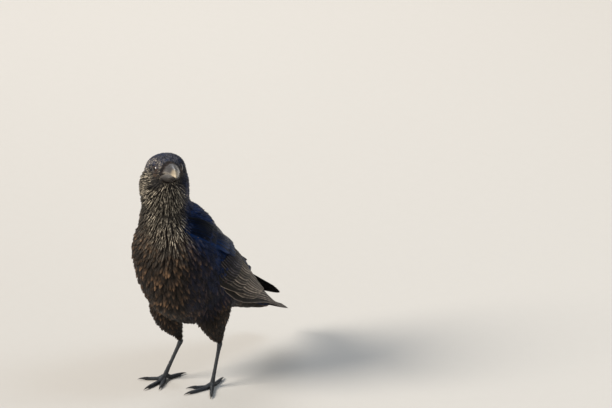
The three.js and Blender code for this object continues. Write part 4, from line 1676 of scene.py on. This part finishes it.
class CROW_OT_eyes(bpy.types.Operator):
    """Adds the eyes, each a wet dark ball with its iris and pupil, and a ring of lids round it."""

    bl_idname = "crow.eyes"
    bl_label = "Eyes"

    def execute(self, context):
        sizes = context.scene.crow_head
        for side in SIDES:
            centre, outwards = eye_seat(side)
            centre = centre - outwards * sizes.eye_sunk * MM
            turn = Vector(outwards).to_track_quat("Z", "Y").to_euler()
            deselect()
            bpy.ops.mesh.primitive_uv_sphere_add(
                segments=48, ring_count=32, radius=sizes.eye_radius * MM, location=centre, rotation=turn)
            eye = context.object
            eye.name = f"eyeball_{side}"
            eye.scale.z = sizes.eye_flatness
            bpy.ops.object.transform_apply(location=True, rotation=True, scale=True)
            away = corners_of(eye) - centre
            beside = np.linalg.norm(away - np.outer(away @ outwards, outwards), axis=1)
            add_values(eye.data, "off_axis", beside / (sizes.eye_opening * MM))
            finish_piece(eye, eye_material(), (f"eye_{side}",))
            self.lids(side, centre, outwards, turn, sizes)
        return {"FINISHED"}

    def lids(self, side, centre, outwards, turn, sizes):
        """The lids: a soft ring that lies on the ball, a little longer than high."""
        radius, opening = sizes.eye_radius * MM, sizes.eye_opening * MM
        place = centre + outwards * math.sqrt(radius**2 - opening**2) * sizes.eye_flatness
        deselect()
        bpy.ops.mesh.primitive_torus_add(
            major_segments=64, minor_segments=16, major_radius=opening + 0.3 * MM,
            minor_radius=sizes.lid_thickness * MM, location=place, rotation=turn)
        ring = bpy.context.object
        ring.name = f"lids_{side}"
        bpy.ops.object.transform_apply(location=True, rotation=True, scale=True)
        points = corners_of(ring)
        away = points - place
        ahead, above = away @ FORWARD, away @ UP
        stretch = np.clip(np.abs(ahead) / opening, 0, 1.3)
        points -= outwards * (0.7 * MM * stretch**2)[:, None]
        points += FORWARD * (ahead * 0.12)[:, None]
        points -= UP * (above * 0.08)[:, None]
        move_corners(ring, points)
        finish_piece(ring, lid_material())


# --- Feet ------------------------------------------------------------------------------------------


@kept_material("Scales")
def scale_material(shader, w, colours):
    places = w.places()
    cells = w.tree.nodes.new("ShaderNodeTexVoronoi")
    cells.feature = "DISTANCE_TO_EDGE"
    cells.inputs["Scale"].default_value = 950.0
    w.link(places, cells.inputs["Vector"])
    gaps = w.ramp(cells.outputs["Distance"], 0.0, 0.12)
    dust = w.noise(places, 400.0, 4.0)
    base = w.mix(w.ramp(dust, 0.5, 0.8, 0.0, 0.5), tuple(colours.scale), SCALE_DUST)
    base = w.mix(w.math("SUBTRACT", 1.0, gaps), base, SCALE_GAPS)
    w.link(base, shader.inputs["Base Color"])
    w.link(w.ramp(dust, 0.3, 0.7, 0.34, 0.55), shader.inputs["Roughness"])
    shader.inputs["Specular Tint"].default_value = (0.8, 0.9, 1.0, 1.0)
    w.link(w.bump(gaps, 0.5, 0.0002), shader.inputs["Normal"])


@kept_material("Claws")
def claw_material(shader, w, colours):
    grain = w.noise(w.places(), 700.0, 3.0)
    w.link(w.mix(w.ramp(grain, 0.4, 0.8, 0.0, 0.5), tuple(colours.claw), CLAW_GRAIN),
           shader.inputs["Base Color"])
    shader.inputs["Roughness"].default_value = 0.3


def tube(name, path, radii, sides=12):
    """A closed tube along a path, with its own radius at each point."""
    path, radii = np.asarray(path, float), np.asarray(radii, float)
    ways = unit(np.gradient(path, axis=0))
    sideways = unit(np.cross(ways, UPRIGHT))
    above = np.cross(sideways, ways)
    angle = np.arange(sides) * 2 * math.pi / sides
    ring = (np.cos(angle)[None, :, None] * sideways[:, None] + np.sin(angle)[None, :, None] * above[:, None])
    points = (path[:, None] + ring * radii[:, None, None]).reshape(-1, 3)
    return ringed(name, points, sides)


def shank_ends(side):
    """The middles of a shank's upper and lower ends."""
    shank = points_of(f"shank_{side}")
    height = shank[:, 2]
    top = shank[height > height.max() - 4 * MM].mean(axis=0)
    return top, shank[height < height.min() + 5 * MM].mean(axis=0)


def far_end(node, ankle):
    """The corner of a node that lies furthest from the ankle, on the level."""
    points = points_of(node)
    return points[np.argmax(np.linalg.norm((points - ankle)[:, :2], axis=1))]


class CROW_OT_feet(bpy.types.Operator):
    """Adds shanks and toes as one scaly skin for each foot, with scutes down their fronts."""

    bl_idname = "crow.feet"
    bl_label = "Feet"

    def execute(self, context):
        for side in SIDES:
            nodes = [f"shank_{side}"] + [f"toe_{side}_{toe}" for toe in TOES]
            foot = joined_copy(f"foot_{side}", nodes)
            apply_modifier(foot, "DISPLACE", strength=0.35 * MM, mid_level=0.0)
            apply_modifier(foot, "REMESH", mode="VOXEL", voxel_size=0.5 * MM)
            apply_modifier(foot, "SMOOTH", factor=0.6, iterations=6)
            apply_modifier(foot, "TRIANGULATE")
            surface = Surface(foot.data)
            points = surface.points - surface.normals * 0.15 * MM
            points[:, 2] = np.maximum(points[:, 2], 0.0)
            move_corners(foot, points)
            self.scutes(side, Surface(foot.data))
            finish_piece(foot, scale_material(), nodes)
            self.claws(side)
        return {"FINISHED"}

    def scutes(self, side, surface):
        """Overlapping plates down the shank's front and along each toe's top."""
        top, ankle = shank_ends(side)
        down = unit(ankle - top)
        ahead = (far_end(f"toe_{side}_middle", ankle) - ankle) * LEVEL
        ahead = unit(ahead - down * (ahead @ down))
        # Where each plate's root is looked for, which way, its direction, length and half width
        plates = []
        for share_down in np.linspace(0.04, 0.93, 11):
            place = top + (ankle - top) * share_down + ahead * 8 * MM
            plates.append((place, -ahead, down, 8.2 * MM, 2.5 * MM))
        for toe in TOES:
            along = (far_end(f"toe_{side}_{toe}", ankle) - ankle) * LEVEL
            for out in np.arange(4 * MM, np.linalg.norm(along) - 3 * MM, 2.7 * MM):
                place = ankle * LEVEL + unit(along) * out + UPRIGHT * 20 * MM
                plates.append((place, DOWN, unit(along), 3.7 * MM, 1.9 * MM))
        plates = [(cast(surface.tree, place, into), *rest) for place, into, *rest in plates]
        plates = [plate for plate in plates if plate[0] is not None]
        roots, ways, lengths, half = (np.array(column) for column in zip(*plates))
        rows = 6
        lay = lay_on(surface, roots, ways, lengths, rows, hold=1.0)
        heights = (-0.15 + 0.5 * shares(rows)[:, None]) * MM * np.ones((1, len(roots)))
        piece = vanes(f"scutes_{side}", lay, half, heights, 7, chance_for("scutes"), widest=0.3,
                      point=4.0, blunt=0.4, camber=0.42, root=0.8, thickness=0.1)
        mark_grid(piece, len(roots))
        finish_piece(piece, scale_material())

    def claws(self, side):
        """Four curved claws, each springing from inside its toe's end."""
        _, ankle = shank_ends(side)
        share = shares(14)[:, None]
        radii = 2.2 * MM * (1 - share[:, 0] ** 1.15) + 0.18 * MM
        arch = (3.3 * share * (1 - share) ** 0.7) * MM
        for toe in TOES:
            node = f"claw_{side}_{toe}"
            points = points_of(node)
            tip = far_end(node, ankle)
            far = np.linalg.norm((points - tip)[:, :2], axis=1)
            base = points[far > far.max() - 1.5 * MM].mean(axis=0)
            outwards = unit((tip - base) * LEVEL)
            start = base - outwards * 4.6 * MM - UPRIGHT * 0.5 * MM
            path = start + (tip - start) * share + UPRIGHT * arch
            path[-1, 2] = max(path[-1, 2], 0.5 * MM)
            claw = tube(f"claw_horn_{side}_{toe}", path, radii)
            finish_piece(claw, claw_material(), (node,))


# --- Stage -----------------------------------------------------------------------------------------


@kept_material("Pale floor")
def floor_material(shader, w, colours):
    grain = w.noise(w.places(), 60.0, 6.0)
    w.link(w.mix(w.ramp(grain, 0.3, 0.7, 0.0, 0.06), tuple(colours.floor), FLOOR_GRAIN),
           shader.inputs["Base Color"])
    shader.inputs["Roughness"].default_value = 0.9
    shader.inputs["Specular IOR Level"].default_value = 0.0


SENSOR = 36.0  # the camera's, in millimetres
SKY = (0.97, 0.98, 1.0, 1.0)

# Each lamp's kind, turn from the camera and elevation in degrees, distance in metres, width, energy
# and tint. A sun's width is the angle that it fills, in radians, and its energy is its strength.
LAMPS = {
    "key": ("SUN", -66, 36, 4.4, 0.42, 4.1, (1.0, 0.93, 0.83)),
    "fill": ("AREA", 72, 56, 2.2, 0.8, 11, (0.72, 0.86, 1.0)),
    "rim": ("AREA", 190, 45, 3.0, 2.0, 33, (0.95, 0.97, 1.0)),
}


def direction(azimuth, elevation):
    """The way from the crow towards an azimuth and elevation, in degrees."""
    a, e = math.radians(azimuth), math.radians(elevation)
    return Vector((math.sin(a) * math.cos(e), -math.cos(a) * math.cos(e), math.sin(e)))


def stand(name, data, target, away, distance):
    """Puts a lamp or camera at a distance from its target, facing it."""
    holder = bpy.data.objects.new(name, data)
    bpy.context.collection.objects.link(holder)
    holder.location = target + away * distance
    holder.rotation_euler = (-away).to_track_quat("-Z", "Y").to_euler()
    return holder


class CROW_OT_stage(bpy.types.Operator):
    """Adds the floor, the lamps, the world and the camera."""

    bl_idname = "crow.stage"
    bl_label = "Stage"

    def execute(self, context):
        deselect()
        bpy.ops.mesh.primitive_plane_add(size=12, location=(0, 0, 0))
        floor = context.object
        floor.name = "floor"
        floor.data.materials.append(floor_material())
        self.camera(context.scene.crow_stage)
        self.lamps(context.scene.crow_stage)
        world = bpy.data.worlds.new("studio")
        world.use_nodes = True
        sky = world.node_tree.nodes["Background"]
        sky.inputs["Color"].default_value = SKY
        sky.inputs["Strength"].default_value = 0.28
        context.scene.world = world
        context.scene.view_settings.view_transform = "Standard"
        return {"FINISHED"}

    def camera(self, stage):
        """A long lens, aimed at the middle of what the frame spans."""
        away = direction(stage.azimuth, stage.elevation)
        right = direction(stage.azimuth + 90, 0)
        target = right * stage.right * MM + away.cross(right) * stage.above * MM
        view = bpy.data.cameras.new("camera")
        view.lens = stage.lens
        view.sensor_width = SENSOR
        view.clip_end = 60
        distance = stage.frame_width * MM * stage.lens / SENSOR
        bpy.context.scene.camera = stand("camera", view, target, away, distance)

    def lamps(self, stage):
        """A wide warm sun, which lights the whole floor alike, and two soft lamps."""
        low, high = CAD_BOX
        for name, (kind, turn, elevation, distance, width, energy, tint) in LAMPS.items():
            lamp = bpy.data.lights.new(name, kind)
            setattr(lamp, "angle" if kind == "SUN" else "size", width)
            lamp.energy = energy
            lamp.color = tint
            away = direction(stage.azimuth + turn, elevation)
            stand(name, lamp, (low + high) / 2, away, distance)


# --- Panel and registration ---------------------------------------------------------------------

OPERATORS = (CROW_OT_skin, CROW_OT_wings, CROW_OT_tail, CROW_OT_coat, CROW_OT_bill, CROW_OT_bristles,
             CROW_OT_eyes, CROW_OT_feet, CROW_OT_stage)


class CROW_PT_panel(bpy.types.Panel):
    """Lists the crow's pieces and its settings."""

    bl_idname = "CROW_PT_panel"
    bl_label = "Carrion crow"
    bl_space_type = "VIEW_3D"
    bl_region_type = "UI"
    bl_category = "Crow"

    def draw(self, context):
        for operator in OPERATORS:
            self.layout.operator(operator.bl_idname)
        for place in GROUPS:
            group = getattr(context.scene, place)
            box = self.layout.box()
            for name in group.__annotations__:
                box.prop(group, name)


GROUPS = {"crow_colours": CrowColours, "crow_coat": CrowCoat, "crow_skin": CrowSkinSizes,
          "crow_head": CrowHead, "crow_stage": CrowStage}


def register():
    for cls in (*GROUPS.values(), *OPERATORS, CROW_PT_panel):
        bpy.utils.register_class(cls)
    for name, group in GROUPS.items():
        setattr(bpy.types.Scene, name, PointerProperty(type=group))


def unregister():
    for name in GROUPS:
        delattr(bpy.types.Scene, name)
    for cls in reversed((*GROUPS.values(), *OPERATORS, CROW_PT_panel)):
        bpy.utils.unregister_class(cls)


def main():
    register()
    bpy.ops.crow.skin()
    bpy.ops.crow.wings()
    bpy.ops.crow.tail()
    bpy.ops.crow.coat()
    bpy.ops.crow.bill()
    bpy.ops.crow.bristles()
    bpy.ops.crow.eyes()
    bpy.ops.crow.feet()
    bpy.ops.crow.stage()


if __name__ == "__main__":
    main()
